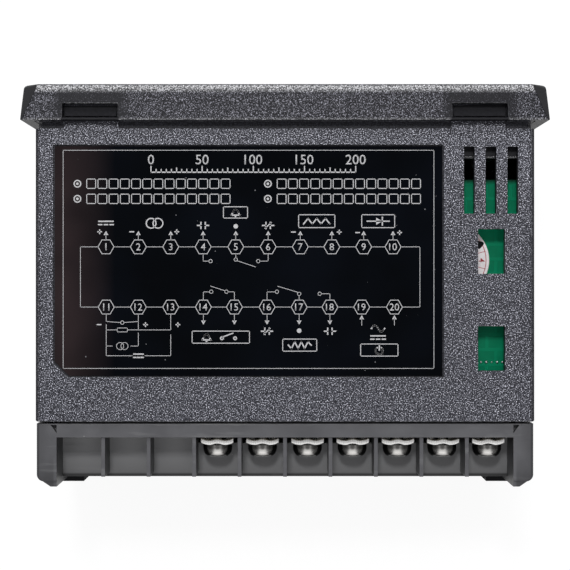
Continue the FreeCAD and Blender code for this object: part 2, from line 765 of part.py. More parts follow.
def tail_span(x, gap):
    """Low and high x of a contact's tail, which stands beside the screw on the side of the block's middle."""
    side = -1 if x > 0 else 1
    near = x + side * (tail_start - gap)
    far = x + side * (tail_start + TAIL_WIDTH + gap)
    return sorted((near, far))


def make_contact(x):
    half = cell_half - CONTACT_SIDE
    plate = slab((x - half, x + half), (seat, contact_rear), (cell_floor, cell_floor + CONTACT_HEIGHT))
    tail = slab(
        tail_span(x, 0), (board_rear - TAIL_LAP, seat), (board_outer, board_outer + CONTACT_THICKNESS))
    bore = rod(SCREW_RADIUS + CONTACT_BORE_GAP, x, (seat - 1, contact_rear + 1), screw_z)
    return joined(plate, [tail]).cut(bore)


def make_clamp_plate(x, z):
    half = cell_half - CLAMP_SIDE
    low_z = z - CLAMP_HEIGHT / 2
    crest = half / (1 + math.sqrt(CLAMP_END_DIP / CLAMP_MIDDLE_DIP))
    wave = ((-half, CLAMP_END_DIP), (-crest, 0), (0, CLAMP_MIDDLE_DIP), (crest, 0), (half, CLAMP_END_DIP))
    rear = [Vector(x + across, clamp_rear - dip, low_z) for across, dip in wave]
    front = [point - Vector(0, CLAMP_THICKNESS, 0) for point in rear]
    outline = Part.Wire([
        Part.Arc(*rear[0:3]).toShape(),
        Part.Arc(*rear[2:5]).toShape(),
        Part.makeLine(rear[4], front[4]),
        Part.Arc(*front[4:1:-1]).toShape(),
        Part.Arc(front[2], front[1], front[0]).toShape(),
        Part.makeLine(front[0], rear[0]),
    ])
    plate = Part.Face(outline).extrude(Vector(0, 0, CLAMP_HEIGHT))
    bore = rod(SCREW_RADIUS + CLAMP_BORE_GAP, x, (contact_rear, clamp_rear + 1), z)
    return plate.cut(bore)


def make_terminal_screw(x, z):
    head_rear = head_front + HEAD_HEIGHT
    edge_y = head_front + HEAD_EDGE
    profile = Part.Wire([
        Part.makeLine(Vector(0, screw_tip, 0), Vector(SCREW_RADIUS, screw_tip, 0)),
        Part.makeLine(Vector(SCREW_RADIUS, screw_tip, 0), Vector(SCREW_RADIUS, head_front, 0)),
        Part.makeLine(Vector(SCREW_RADIUS, head_front, 0), Vector(HEAD_RADIUS, head_front, 0)),
        Part.makeLine(Vector(HEAD_RADIUS, head_front, 0), Vector(HEAD_RADIUS, edge_y, 0)),
        Part.makeLine(Vector(HEAD_RADIUS, edge_y, 0), Vector(HEAD_FLAT, head_rear, 0)),
        Part.makeLine(Vector(HEAD_FLAT, head_rear, 0), Vector(0, head_rear, 0)),
        Part.makeLine(Vector(0, head_rear, 0), Vector(0, screw_tip, 0)),
    ])
    screw = Part.Face(profile).revolve(Vector(0, 0, 0), Vector(0, 1, 0), 360)
    depth = (head_rear - CROSS_DEPTH, head_rear + 1)
    wide = (-CROSS_LENGTH / 2, CROSS_LENGTH / 2)
    narrow = (-CROSS_WIDTH / 2, CROSS_WIDTH / 2)
    screw = screw.cut([slab(wide, depth, narrow), slab(narrow, depth, wide)])
    screw.translate(Vector(x, 0, z))
    return screw


def save(name, shapes):
    """Write one node, from one solid or from a list of them."""
    shape = Part.makeCompound(shapes) if isinstance(shapes, list) else shapes
    shape.exportStep("parts/" + name + ".step")


os.makedirs("parts", exist_ok=True)
save("bezel", make_bezel())
save("display_window", make_display_window())
save("case", make_case())
save("wiring_label", label_shape(LABEL_GAP, LABEL_FILM, case_z - LABEL_RECESS))
save("display_board", make_display_board())
save("board_screws", make_board_screws())
save("pv_display", make_pv_display())
save("sv_display", make_sv_display())
save("indicator_lamps", make_indicator_lamps())
save("key_switches", make_key_switches())
for key_name, key_x in zip(KEY_NAMES, key_places):
    save(key_name, make_key(key_x))

save("upper_board", make_upper_board())
save("lower_board", flipped(make_upper_board()))
save("quality_sticker", make_quality_sticker())
save("board_headers", make_board_headers())
save("relays", make_relays())
save("transformer_core", make_transformer_core())
save("transformer_bobbin", make_transformer_bobbin())
save("capacitors", make_capacitors())
save("integrated_circuits", make_integrated_circuits())

save("terminal_block", make_terminal_block())
save("upper_contacts", [make_contact(cell_x(index)) for index in range(BLANK_CELLS, CELL_COUNT)])
save("lower_contacts", [flipped(make_contact(cell_x(index))) for index in range(CELL_COUNT)])
for number in range(BLANK_CELLS + 1, 2 * CELL_COUNT + 1):
    screw_x = cell_x((number - 1) % CELL_COUNT)
    row_z = screw_z if number <= CELL_COUNT else -screw_z
    save("clamp_plate_%02d" % number, make_clamp_plate(screw_x, row_z))
    save("terminal_screw_%02d" % number, make_terminal_screw(screw_x, row_z))
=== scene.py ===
import math

import bmesh
import bpy
from mathutils import Matrix, Vector


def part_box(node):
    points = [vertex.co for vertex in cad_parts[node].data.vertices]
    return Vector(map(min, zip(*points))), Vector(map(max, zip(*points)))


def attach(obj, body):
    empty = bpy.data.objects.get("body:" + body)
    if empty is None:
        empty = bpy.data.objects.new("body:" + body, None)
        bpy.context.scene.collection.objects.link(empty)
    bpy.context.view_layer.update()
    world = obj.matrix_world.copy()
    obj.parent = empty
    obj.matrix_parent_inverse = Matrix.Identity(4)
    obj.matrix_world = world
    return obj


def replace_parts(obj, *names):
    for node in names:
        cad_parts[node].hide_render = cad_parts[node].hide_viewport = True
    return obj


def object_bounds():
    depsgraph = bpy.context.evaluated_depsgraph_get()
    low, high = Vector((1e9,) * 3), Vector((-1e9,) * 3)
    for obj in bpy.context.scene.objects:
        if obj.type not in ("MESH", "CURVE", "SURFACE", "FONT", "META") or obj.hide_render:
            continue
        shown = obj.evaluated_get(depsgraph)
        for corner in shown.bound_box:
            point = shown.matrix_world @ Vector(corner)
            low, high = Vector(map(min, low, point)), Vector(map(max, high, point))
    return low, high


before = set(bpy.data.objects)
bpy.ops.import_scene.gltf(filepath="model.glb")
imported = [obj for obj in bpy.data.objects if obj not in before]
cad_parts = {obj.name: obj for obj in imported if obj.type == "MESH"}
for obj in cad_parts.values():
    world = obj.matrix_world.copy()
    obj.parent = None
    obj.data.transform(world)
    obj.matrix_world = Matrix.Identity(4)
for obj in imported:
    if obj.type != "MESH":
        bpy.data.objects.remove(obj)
cad_low, cad_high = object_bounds()

# Bezel: the front frame, one plastic moulding from a spark-eroded tool, which leaves a coarse grain; the
# grain's bright specks are painted glints. It carries the window, the keys and the display board. Its skirt
# slides into the case, and its latch windows snap over noses on the case.
MM = 0.001
MERGE = 0.002 * MM
FLAT_ANGLE = math.radians(1)
EDGE_ANGLE = math.radians(35)
BEZEL_EDGE = 0.12 * MM
# The brightest bezel tone is painted glints.
BEZEL_TONES = ((0.003, 0.003, 0.005), (0.0155, 0.0155, 0.020), (0.32, 0.32, 0.37))
# A painted highlight on the bezel's rims.
BEZEL_RIM_HIGHLIGHT = (0.71, 0.71, 0.73)
HOUSING_GRAIN = 5.0
HOUSING_RELIEF = 0.06 * MM

# Zones of the housing's finish and of its painted light and shade: where each one starts and where it is
# full, and for a fade, the distances from its middle at which it is still full and at which it ends
LATCH_OFFSET = 35.3 * MM
LATCH_MIDDLE = -2.6 * MM
LATCH_FADE_X = (5.4 * MM, 7.2 * MM)
LATCH_FADE_Y = (2.2 * MM, 3.2 * MM)
STRIP_MIDDLE = -0.25 * MM
STRIP_FADE_X = (5.1 * MM, 5.4 * MM)
STRIP_FADE_Y = (0.3 * MM, 0.35 * MM)
INNER_LEVEL = (21.75 * MM, 21.55 * MM)
BEZEL_SHADOW_FADE = (0.95 * MM, 0.55 * MM)
CASE_START = (0.0, 0.1 * MM)
OUTLINE_X = (44.8 * MM, 45.1 * MM)
OUTLINE_Z = (20.8 * MM, 21.4 * MM)
PAINTED_FRONT_LIGHT = (14.0 * MM, 1.0 * MM)
FRONT_EDGE_HIGHLIGHT = (-4.9 * MM, -5.9 * MM)
REAR_EDGE_HIGHLIGHT = (-0.5 * MM, -0.2 * MM)
REAR_EDGE_HIGHLIGHT_END = (0.05 * MM, 0.0)


def link(source, target):
    """Lead one socket into another one."""
    source.id_data.links.new(source, target)


def add_node(tree, kind, inputs, **settings):
    """A new shader node whose inputs hold plain values or are linked to the sockets given."""
    made = tree.nodes.new("ShaderNode" + kind)
    for name, value in settings.items():
        setattr(made, name, value)
    for socket, value in inputs.items():
        if isinstance(value, bpy.types.NodeSocket):
            link(value, made.inputs[socket])
        else:
            made.inputs[socket].default_value = value
    return made


def calc(operation, *values):
    """The result of one calculation on sockets or plain numbers."""
    tree = next(value.id_data for value in values if isinstance(value, bpy.types.NodeSocket))
    return add_node(tree, "Math", dict(enumerate(values)), operation=operation).outputs[0]


def rise(value, start, end, low=0.0, high=1.0):
    """A value that goes from low to high while another one goes from start to end."""
    return add_node(value.id_data, "MapRange", {
        "Value": value, "From Min": start, "From Max": end, "To Min": low, "To Max": high}).outputs[0]


def near(value, middle, fade, strength=1.0):
    """A factor that is strong near a middle and fades out between two distances from it."""
    distance = calc("ABSOLUTE", calc("SUBTRACT", value, middle))
    return rise(distance, fade[1], fade[0], 0.0, strength)


def product(first, *others):
    """Factors multiplied with each other."""
    for factor in others:
        first = calc("MULTIPLY", first, factor)
    return first


def greatest(first, *others):
    """The greatest of some factors."""
    for factor in others:
        first = calc("MAXIMUM", first, factor)
    return first


def axes(vector):
    """The X, Y and Z sockets of a vector."""
    return add_node(vector.id_data, "SeparateXYZ", {"Vector": vector}).outputs


def bearings(place):
    """A point's distance from the middle, its place from front to rear, its distance from the centre plane,
    and how far its face looks to the side and up or down."""
    spot = axes(place)
    turn = axes(add_node(place.id_data, "NewGeometry", {}).outputs["True Normal"])
    across, level, sideways, upright = (
        calc("ABSOLUTE", value) for value in (spot["X"], spot["Z"], turn["X"], turn["Z"]))
    return across, spot["Y"], level, sideways, upright


def ramp(factor, stops):
    """Colours that follow a factor, from pairs of position and colour."""
    made = add_node(factor.id_data, "ValToRGB", {"Fac": factor})
    steps = made.color_ramp.elements
    for position, _ in stops[1:-1]:
        steps.new(position)
    for step, (position, colour) in zip(steps, stops):
        step.position = position
        step.color = (*colour, 1)
    return made.outputs["Color"]


def blend(factor, under, over):
    """One colour laid over another one by a factor."""
    under, over = (
        tone if isinstance(tone, bpy.types.NodeSocket) else (*tone, 1) for tone in (under, over))
    tones = {"Factor": factor, "A": under, "B": over}
    return add_node(factor.id_data, "Mix", tones, data_type="RGBA").outputs["Result"]


def emboss(shader, height, depth, strength):
    """A relief on a finish, from a height between 0 and 1 and its depth."""
    bump = add_node(height.id_data, "Bump", {"Height": height, "Distance": depth, "Strength": strength})
    link(bump.outputs["Normal"], shader["Normal"])


def start_group(name, inputs, outputs):
    """An empty shader node group with a Vector input and the value sockets named."""
    group = bpy.data.node_groups.new(name, "ShaderNodeTree")
    group.interface.new_socket("Vector", in_out="INPUT", socket_type="NodeSocketVector")
    for way, sockets in (("INPUT", inputs), ("OUTPUT", outputs)):
        for socket in sockets:
            group.interface.new_socket(socket, in_out=way, socket_type="NodeSocketFloat")
    return group, group.nodes.new("NodeGroupInput").outputs, group.nodes.new("NodeGroupOutput").inputs


def start_finish(name, plain):
    """A new node material with plain values on its shader's own sockets."""
    finish = bpy.data.materials.new(name)
    finish.use_nodes = True
    tree = finish.node_tree
    shader = tree.nodes["Principled BSDF"]
    for socket, value in plain.items():
        shader.inputs[socket].default_value = value
    return finish, tree, shader.inputs, add_node(tree, "TexCoord", {}).outputs["Object"]


def put(name, data):
    """A new object in the scene for a mesh, some text, a lamp or a camera."""
    made = bpy.data.objects.new(name, data)
    bpy.context.scene.collection.objects.link(made)
    return made


def new_piece(name, mesh, finish, body):
    """An object at the origin for a finished mesh, riding on a body."""
    mesh.name = name
    mesh.materials.clear()
    mesh.materials.append(finish)
    piece = put(name, mesh)
    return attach(piece, body)


def softened(name, node, finish, edge, body="controller"):
    """A copy of a moulded node with its sharp edges slightly rounded, which stands for the node."""
    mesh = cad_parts[node].data.copy()
    for layer in ("custom_normal", "sharp_edge", "sharp_face"):
        mesh.attributes.remove(mesh.attributes[layer])
    shape = bmesh.new()
    shape.from_mesh(mesh)
    bmesh.ops.remove_doubles(shape, verts=shape.verts, dist=MERGE)
    bmesh.ops.dissolve_limit(shape, angle_limit=FLAT_ANGLE, verts=shape.verts, edges=shape.edges)
    shape.to_mesh(mesh)
    shape.free()
    piece = new_piece(name, mesh, finish, body)
    rounding = piece.modifiers.new("edge_round", "BEVEL")
    rounding.width = edge
    rounding.segments = 2
    rounding.limit_method = "ANGLE"
    rounding.angle_limit = EDGE_ANGLE
    rounding.use_clamp_overlap = False
    piece.modifiers.new("flat_faces", "WEIGHTED_NORMAL")
    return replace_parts(piece, node)


spark_grain, entry, leave = start_group("spark_grain", ["Grains per mm"], ["Height", "Glint"])
grain_scale = calc("MULTIPLY", entry["Grains per mm"], 1 / MM)
grain_pits = add_node(
    spark_grain, "TexNoise",
    {"Vector": entry["Vector"], "Scale": grain_scale, "Detail": 2.0, "Roughness": 0.6}).outputs["Fac"]
grain_facets = add_node(
    spark_grain, "TexVoronoi", {"Vector": entry["Vector"], "Scale": grain_scale}).outputs["Distance"]
grain_height = calc("MULTIPLY_ADD", grain_facets, -0.2, grain_pits)
link(grain_height, leave["Height"])
link(rise(grain_height, 0.3, 0.62), leave["Glint"])


def grained_plastic(name, tones, rim_highlight):
    """Black plastic with grain and painted glints, smooth places partly in painted shade, and painted rim
    highlights.
    """
    finish, tree, shader, place = start_finish(name, {"Specular IOR Level": 0.18})
    grain = add_node(
        tree, "Group", {"Vector": place, "Grains per mm": HOUSING_GRAIN}, node_tree=spark_grain).outputs
    across, along, level, sideways, upright = bearings(place)

    # Smooth places: round the latches, within the case and on the sideways ends. The smooth dark tone in the
    # groove and on the case just behind the bezel is painted shade, and the darker ends are painted shade
    # too
    latch = product(
        near(across, LATCH_OFFSET, LATCH_FADE_X, 0.45), near(along, LATCH_MIDDLE, LATCH_FADE_Y))
    strip = product(near(across, LATCH_OFFSET, STRIP_FADE_X), near(along, STRIP_MIDDLE, STRIP_FADE_Y))
    hidden_and_shaded = greatest(rise(level, *INNER_LEVEL), rise(along, *BEZEL_SHADOW_FADE, 0.0, 0.35))
    inside_and_shaded = product(hidden_and_shaded, rise(along, -0.05 * MM, 0.0, 0.0, 0.64))
    end_side = product(rise(sideways, 0.12, 0.45), rise(along, *CASE_START, 1.0, 0.45))
    smooth = greatest(end_side, latch, inside_and_shaded, strip)
    grained = rise(smooth, 0.0, 1.0, 1.0, 0.1)

    # Long outer edges of the case: matt, with less sparkle, and darker as painted shade
    outline = product(rise(across, *OUTLINE_X), rise(along, *CASE_START), rise(level, *OUTLINE_Z))
    link(rise(outline, 0.0, 1.0, 0.5, 1.0), shader["Roughness"])
    # Painted light: the grain grows paler towards the front.
    glints = product(
        grain["Glint"], grained, rise(along, *PAINTED_FRONT_LIGHT, 1.0, 1.12),
        rise(outline, 0.0, 1.0, 1.0, 0.7))
    # The brightest grain tone is painted glints.
    tone = ramp(glints, tuple(zip((0.0, 0.5, 1.0), tones)))

    # Painted highlights on the rims: sloped edges, the bezel's front edge and a fine line along its rear
    # edge
    rear_line = product(rise(along, *REAR_EDGE_HIGHLIGHT, 0.0, 0.2), rise(along, *REAR_EDGE_HIGHLIGHT_END))
    rim = greatest(rise(upright, 0.97, 0.85), rise(along, *FRONT_EDGE_HIGHLIGHT), rear_line)
    rimless = greatest(end_side, strip, outline)
    rim = product(
        rim, rise(upright, 0.6, 0.85), rise(rimless, 0.0, 1.0, 1.0, 0.0),
        rise(grain["Glint"], 0.2, 0.7, 0.1, 1.0))
    link(blend(rim, tone, rim_highlight), shader["Base Color"])
    emboss(shader, product(grain["Height"], grained), HOUSING_RELIEF, 0.8)
    return finish


bezel_finish = grained_plastic("bezel_plastic", BEZEL_TONES, BEZEL_RIM_HIGHLIGHT)
softened("bezel_moulding", "bezel", bezel_finish, BEZEL_EDGE)

# Display window: a smoked acrylic plate that drops into a shallow pocket in the bezel's front and is glued
# to its ledge.


def mottled(name, colours, grain_mm, plain, relief_mm=0.01):
    """A finish with a soft uneven tone between two colours and a slight relief of the same grain."""
    finish, tree, shader, place = start_finish(name, plain)
    tone = add_node(tree, "TexNoise", {
        "Vector": place, "Scale": 1 / (grain_mm * MM), "Detail": 3.0, "Roughness": 0.6}).outputs["Fac"]
    link(ramp(tone, ((0.35, colours[0]), (0.65, colours[1]))), shader["Base Color"])
    emboss(shader, tone, relief_mm * MM, 0.5)
    return finish


def dress(finish, *names):
    """Put a finish on nodes that keep their own mesh."""
    for name in names:
        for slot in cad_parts[name].material_slots:
            slot.material = finish


dress(mottled(
    "smoked_acrylic", ((0.085, 0.075, 0.075), (0.10, 0.088, 0.085)), 6.0,
    {"Roughness": 0.03, "Transmission Weight": 1.0, "IOR": 1.49}, 0.001), "display_window")

# Keys: four soft-touch caps, each with a light sign printed in its shallow dished front. A flange behind
# the bezel keeps each one in its hole, and its stem rests in a key switch on the display board.
LINE = 0.1
PRINT_FILM = 0.02
KEY_EDGE = 0.05 * MM
KEY_RIM = 0.5 * MM
KEY_DISH = 0.08 * MM
SIGN_SIZE = 1.35
SIGN_DOT = 0.4
CENTRE = Vector((0, 0))
FRONT_TURN = Matrix.Rotation(math.radians(90), 4, "X")


def disc(shape, centre, radius, sides=20, turn=0.0):
    """A filled circle, or a polygon with few sides, whose first corner points up before it is turned."""
    place = Matrix.Translation(centre.to_3d()) @ Matrix.Rotation(turn, 4, "Z")
    made = bmesh.ops.create_circle(shape, cap_ends=True, segments=sides, radius=radius, matrix=place)
    return made["verts"][0].link_faces[0]


def ring(shape, centre, radius, width=LINE, sides=20, turn=0.0):
    """A printed circle or polygon with an open middle."""
    face = disc(shape, centre, radius, sides, turn)
    bmesh.ops.inset_region(shape, faces=[face], thickness=width, use_boundary=True)
    bmesh.ops.delete(shape, geom=[face], context="FACES")


def to_mesh(name, shape):
    """A mesh from a finished shape."""
    mesh = bpy.data.meshes.new(name)
    shape.to_mesh(mesh)
    shape.free()
    return mesh


def lay(name, shape, place, finish, body="controller"):
    """Turn a flat drawing in millimetres into a thin printed piece at its place on a body."""
    shape.normal_update()
    bmesh.ops.reverse_faces(shape, faces=[face for face in shape.faces if face.normal.z < 0])
    bmesh.ops.transform(shape, matrix=place @ Matrix.Scale(MM, 4), verts=shape.verts)
    piece = new_piece(name, to_mesh(name, shape), finish, body)
    layer = piece.modifiers.new("film", "SOLIDIFY")
    layer.thickness = PRINT_FILM * MM
    layer.offset = 1.0
    return piece


key_finish, tree, shader, place = start_finish(
    "soft_touch_key", {"Roughness": 0.62, "Specular IOR Level": 0.3})
grain = add_node(tree, "Group", {"Vector": place, "Grains per mm": 7.0}, node_tree=spark_grain).outputs
link(ramp(grain["Glint"], ((0.0, (0.085, 0.085, 0.09)), (1.0, (0.16, 0.16, 0.17)))), shader["Base Color"])
emboss(shader, grain["Height"], 0.02 * MM, 0.6)
print_ink = mottled(
    "light_print", ((0.36, 0.36, 0.37), (0.50, 0.50, 0.51)), 0.25, {"Roughness": 0.55}, 0.004)
for key_name, sign_turn in (("key_set", None), ("key_shift", 90), ("key_down", 180), ("key_up", 0)):
    key_low, key_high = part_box(key_name)
    cap = softened(key_name + "_cap", key_name, key_finish, KEY_EDGE, key_name + "_body")
    dish = bmesh.new()
    dish.from_mesh(cap.data)
    front = [face for face in dish.faces if face.calc_center_median().y < key_low.y + MERGE]
    bmesh.ops.inset_region(dish, faces=front, thickness=KEY_RIM, depth=-KEY_DISH)
    dish.to_mesh(cap.data)
    dish.free()
    sign = bmesh.new()
    if sign_turn is None:
        ring(sign, CENTRE, SIGN_SIZE, SIGN_DOT, 28)
        disc(sign, CENTRE, SIGN_DOT)
    else:
        disc(sign, CENTRE, SIGN_SIZE, 3, math.radians(sign_turn))
    key_middle = (key_low + key_high) / 2
    sign_place = Matrix.Translation((key_middle.x, key_low.y + KEY_DISH, key_middle.z))
    lay(key_name + "_sign", sign, sign_place @ FRONT_TURN, print_ink, key_name + "_body")

# Display board and what is soldered to it: a green laminate on two bosses in the bezel, with a large and a
# small numeric display, five lamps and four key switches on its front. Two small screws hold it. The unlit
# segments show pale through the smoked window.
SLANT = math.tan(math.radians(8))
SEGMENT_SHARE = 0.13
DIGIT_WIDTH = 0.52
LEVEL_BAR = 0.94
UPRIGHT_BAR = 0.47
POINT_GAP = 1.7
POINT_SIZE = 0.55
FRONT_SHADE = 1.1 * MM
SHADED_MASK = (0.0003, 0.006, 0.003)
SKIRT_SHADE = (1.7 * MM, 0.9 * MM)
SHADED_STEEL = (0.02, 0.02, 0.02)
board_low, board_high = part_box("upper_board")


def circuit_laminate(name, mask, copper_mask):
    """Green solder mask over copper tracks, which show as slightly paler and raised strips."""
    finish, tree, shader, place = start_finish(name, {"Roughness": 0.35, "Specular IOR Level": 0.08})
    tracks = add_node(
        tree, "TexBrick", {
            "Vector": place, "Scale": 1 / (9.0 * MM), "Mortar Size": 0.035, "Mortar Smooth": 0.15,
            "Brick Width": 0.62, "Row Height": 0.31},
        offset=0.37, squash=0.8).outputs["Fac"]
    cloud = add_node(tree, "TexNoise", {"Vector": place, "Scale": 1 / (2.5 * MM), "Detail": 3.0})
    tint = ramp(cloud.outputs["Fac"], ((0.3, mask[0]), (0.7, mask[1])))
    # Painted shade along the board's front edge.
    edge_shade = near(axes(place)["Y"], board_low.y, (0.0, FRONT_SHADE), 0.92)
    link(blend(edge_shade, blend(tracks, tint, copper_mask), SHADED_MASK), shader["Base Color"])
    emboss(shader, tracks, 0.035 * MM, 0.7)
    return finish


def segment(shape, centre, length, width, upright):
    """One bar of a numeral, with pointed ends."""
    made = bmesh.ops.create_circle(shape, cap_ends=True, segments=6, radius=width / math.sqrt(3))
    for vert in made["verts"]:
        vert.co.y += math.copysign(length / 2 - width / math.sqrt(3), vert.co.y)
    turn = Matrix.Rotation(0 if upright else math.radians(90), 4, "Z")
    bmesh.ops.transform(shape, matrix=Matrix.Translation(centre.to_3d()) @ turn, verts=made["verts"])


def unlit_digits(name, node, count, height, pitch):
    """A row of unlit seven-segment numerals with points, across the face of a display."""
    low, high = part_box(node)
    width = height * DIGIT_WIDTH
    bar = height * SEGMENT_SHARE
    shape = bmesh.new()
    for index in range(count):
        column = (index - (count - 1) / 2) * pitch
        for level in (-1, 0, 1):
            segment(shape, Vector((column, level * height / 2)), width * LEVEL_BAR, bar, False)
        for side in (-1, 1):
            for level in (-1, 1):
                corner = Vector((column + side * width / 2, level * height / 4))
                segment(shape, corner, height * UPRIGHT_BAR, bar, True)
        disc(shape, Vector((column + width / 2 + bar * POINT_GAP, -height / 2)), bar * POINT_SIZE)
    for vert in shape.verts:
        vert.co.x += vert.co.y * SLANT
    middle = (low + high) / 2
    face_place = Matrix.Translation((middle.x, low.y, middle.z)) @ FRONT_TURN
    return lay(name, shape, face_place, segment_finish)


laminate_finish = circuit_laminate(
    "green_laminate", ((0.0010, 0.185, 0.088), (0.0015, 0.220, 0.105)), (0.0015, 0.240, 0.115))
dress(laminate_finish, "display_board")
dress(mottled(
    "display_face", ((0.010, 0.010, 0.011), (0.018, 0.018, 0.019)), 0.6, {"Roughness": 0.42}),
    "pv_display", "sv_display")
segment_finish = mottled(
    "unlit_segment", ((0.27, 0.26, 0.25), (0.33, 0.32, 0.31)), 0.8, {"Roughness": 0.5})
unlit_digits("main_digits", "pv_display", count=4, height=13.6, pitch=12.1)
unlit_digits("set_digits", "sv_display", count=4, height=8.6, pitch=7.1)
dress(mottled(
    "lamp_lens", ((0.30, 0.055, 0.035), (0.38, 0.075, 0.05)), 0.7, {"Roughness": 0.35}), "indicator_lamps")
dress(mottled(
    "black_moulding", ((0.010, 0.010, 0.011), (0.020, 0.020, 0.021)), 0.3, {"Roughness": 0.5}, 0.015),
    "key_switches", "board_headers", "integrated_circuits")

# Plated steel of the screws, with the dust and scuffs that handled pieces share
handling, entry, leave = start_group("handling_marks", ["Specks per mm", "Scuff mm"], ["Dust", "Scuff"])
speck_scale = calc("MULTIPLY", entry["Specks per mm"], 1 / MM)
specks = add_node(handling, "TexVoronoi", {"Vector": entry["Vector"], "Scale": speck_scale}).outputs
speck_pick = add_node(handling, "SeparateColor", {"Color": specks["Color"]}).outputs["Red"]
speck_size = rise(speck_pick, 0.6, 1.0, 0.0, 0.07)
speck_dust = calc("LESS_THAN", specks["Distance"], speck_size)
scuff_lie = add_node(handling, "Mapping", {
    "Vector": entry["Vector"], "Rotation": (0.2, 0.3, 0.7), "Scale": (0.16, 1.0, 0.5)})
scuff_noise = add_node(handling, "TexNoise", {
    "Vector": scuff_lie.outputs[0], "Scale": calc("DIVIDE", 1 / MM, entry["Scuff mm"]),
    "Detail": 4.0, "Roughness": 0.62}).outputs["Fac"]
link(speck_dust, leave["Dust"])
link(rise(scuff_noise, 0.56, 0.78), leave["Scuff"])

screw_low, screw_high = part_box("terminal_screw_04")
steel_finish, tree, shader, place = start_finish("nickel_plate", {"Metallic": 0.82})
marks = add_node(
    tree, "Group", {"Vector": place, "Specks per mm": 1.2, "Scuff mm": 0.5}, node_tree=handling).outputs
plating = ramp(marks["Scuff"], ((0.0, (0.80, 0.78, 0.75)), (1.0, (0.66, 0.64, 0.61))))
turn = axes(add_node(tree, "NewGeometry", {}).outputs["Normal"])
# Painted shade: the flanks of the heads that turn away from straight up, and the skirt next to the plate, go
# nearly black.
flank_shade = product(rise(calc("ABSOLUTE", turn["Z"]), 0.92, 0.70), rise(turn["Y"], 0.97, 0.90))
skirt = rise(axes(place)["Y"], screw_high.y - SKIRT_SHADE[0], screw_high.y - SKIRT_SHADE[1], 0.8, 0.0)
link(blend(greatest(flank_shade, skirt), plating, SHADED_STEEL), shader["Base Color"])
link(rise(marks["Scuff"], 0.0, 1.0, 0.15, 0.32), shader["Roughness"])
dress(steel_finish, "board_screws")

# Main boards: two green laminates in rails above and below, joined to the display board by pin headers.
# The upper one shows through the case windows, with a row of small solder joints near its rear edge.
SOLDER_COUNT = 5
SOLDER_FIRST = Vector((-36.3, 44.2)) * MM
SOLDER_STEP = -1.0 * MM
SOLDER_RADIUS = 0.26 * MM
SOLDER_SPREAD = 0.3
SOLDER_HEIGHT = 0.7
dress(laminate_finish, "upper_board", "lower_board")
solder = bmesh.new()
for index in range(SOLDER_COUNT):
    spot = (SOLDER_FIRST.x + index * SOLDER_STEP, SOLDER_FIRST.y, board_high.z)
    radius = SOLDER_RADIUS * (1 + SOLDER_SPREAD * math.sin(2.3 * index))
    dome = bmesh.ops.create_uvsphere(solder, u_segments=12, v_segments=8, radius=radius)
    bmesh.ops.scale(solder, vec=(1, 1, SOLDER_HEIGHT), verts=dome["verts"])
    bmesh.ops.translate(solder, vec=spot, verts=dome["verts"])
solder_finish = mottled(
    "solder", ((0.62, 0.62, 0.61), (0.72, 0.72, 0.71)), 0.2, {"Roughness": 0.3, "Metallic": 1.0})
new_piece("solder_joints", to_mesh("solder_joints", solder), solder_finish, "controller")

# Parts on the main boards: relays, a ferrite transformer with its taped bobbin, sleeved capacitors and
# integrated circuits, soldered on the inner faces. Only a little of them shows through the vents.
dress(mottled(
    "relay_cover", ((0.020, 0.075, 0.30), (0.030, 0.10, 0.38)), 0.9, {"Roughness": 0.38}), "relays")
dress(mottled(
    "ferrite", ((0.030, 0.030, 0.031), (0.060, 0.060, 0.061)), 0.15, {"Roughness": 0.7}, 0.02),
    "transformer_core")
dress(mottled(
    "winding_tape", ((0.60, 0.37, 0.025), (0.70, 0.46, 0.04)), 1.1, {"Roughness": 0.4}, 0.03),
    "transformer_bobbin")
dress(mottled(
    "capacitor_sleeve", ((0.018, 0.018, 0.024), (0.034, 0.034, 0.042)), 0.7, {"Roughness": 0.35}),
    "capacitors")

# Quality sticker: a white paper disc stuck on the upper board, with a red printed ring of plain numbers
# and one dot of black marker. Part of it shows through the first window.
PLAN_TURN = Matrix.Rotation(math.radians(180), 4, "Z")
STICKER_RIMS = (6.3, 4.55)
STICKER_NUMBERS = 12
STICKER_FIGURE = 1.1
STICKER_LINE = 0.12
SPOKE_LINE = 0.1
PEN_SPOT = Vector((-36.0, 22.4)) * MM
PEN_RADIUS = 0.72
PEN_WOBBLE = 0.16


def stroke(shape, start, end, width=LINE):
    """A straight printed line between two points of a flat drawing."""
    along = end - start
    middle = Matrix.Translation(((start + end) / 2).to_3d())
    turn = Matrix.Rotation(math.atan2(along.y, along.x), 4, "Z")
    size = Matrix.Diagonal((along.length + width, width, 1, 1))
    bmesh.ops.create_grid(shape, x_segments=1, y_segments=1, size=0.5, matrix=middle @ turn @ size)


def numeral(shape, digits, centre, height, turn=0.0):
    """Plain printed digits about a centre of a flat drawing."""
    letters = bpy.data.curves.new("digits", "FONT")
    letters.body = digits
    letters.resolution_u = 3
    letters.offset = 0.004
    holder = put("digits", letters)
    flat = bpy.data.meshes.new_from_object(holder)
    bpy.data.objects.remove(holder)
    bpy.data.curves.remove(letters)
    sides = list(zip(*(vert.co.to_2d() for vert in flat.vertices)))
    low, high = (Vector([pick(side) for side in sides]) for pick in (min, max))
    size = height / (high.y - low.y)
    flat.transform(
        Matrix.Translation(centre.to_3d()) @ Matrix.Rotation(turn, 4, "Z") @ Matrix.Scale(size, 4)
        @ Matrix.Translation(-((low + high) / 2).to_3d()))
    shape.from_mesh(flat)
    bpy.data.meshes.remove(flat)


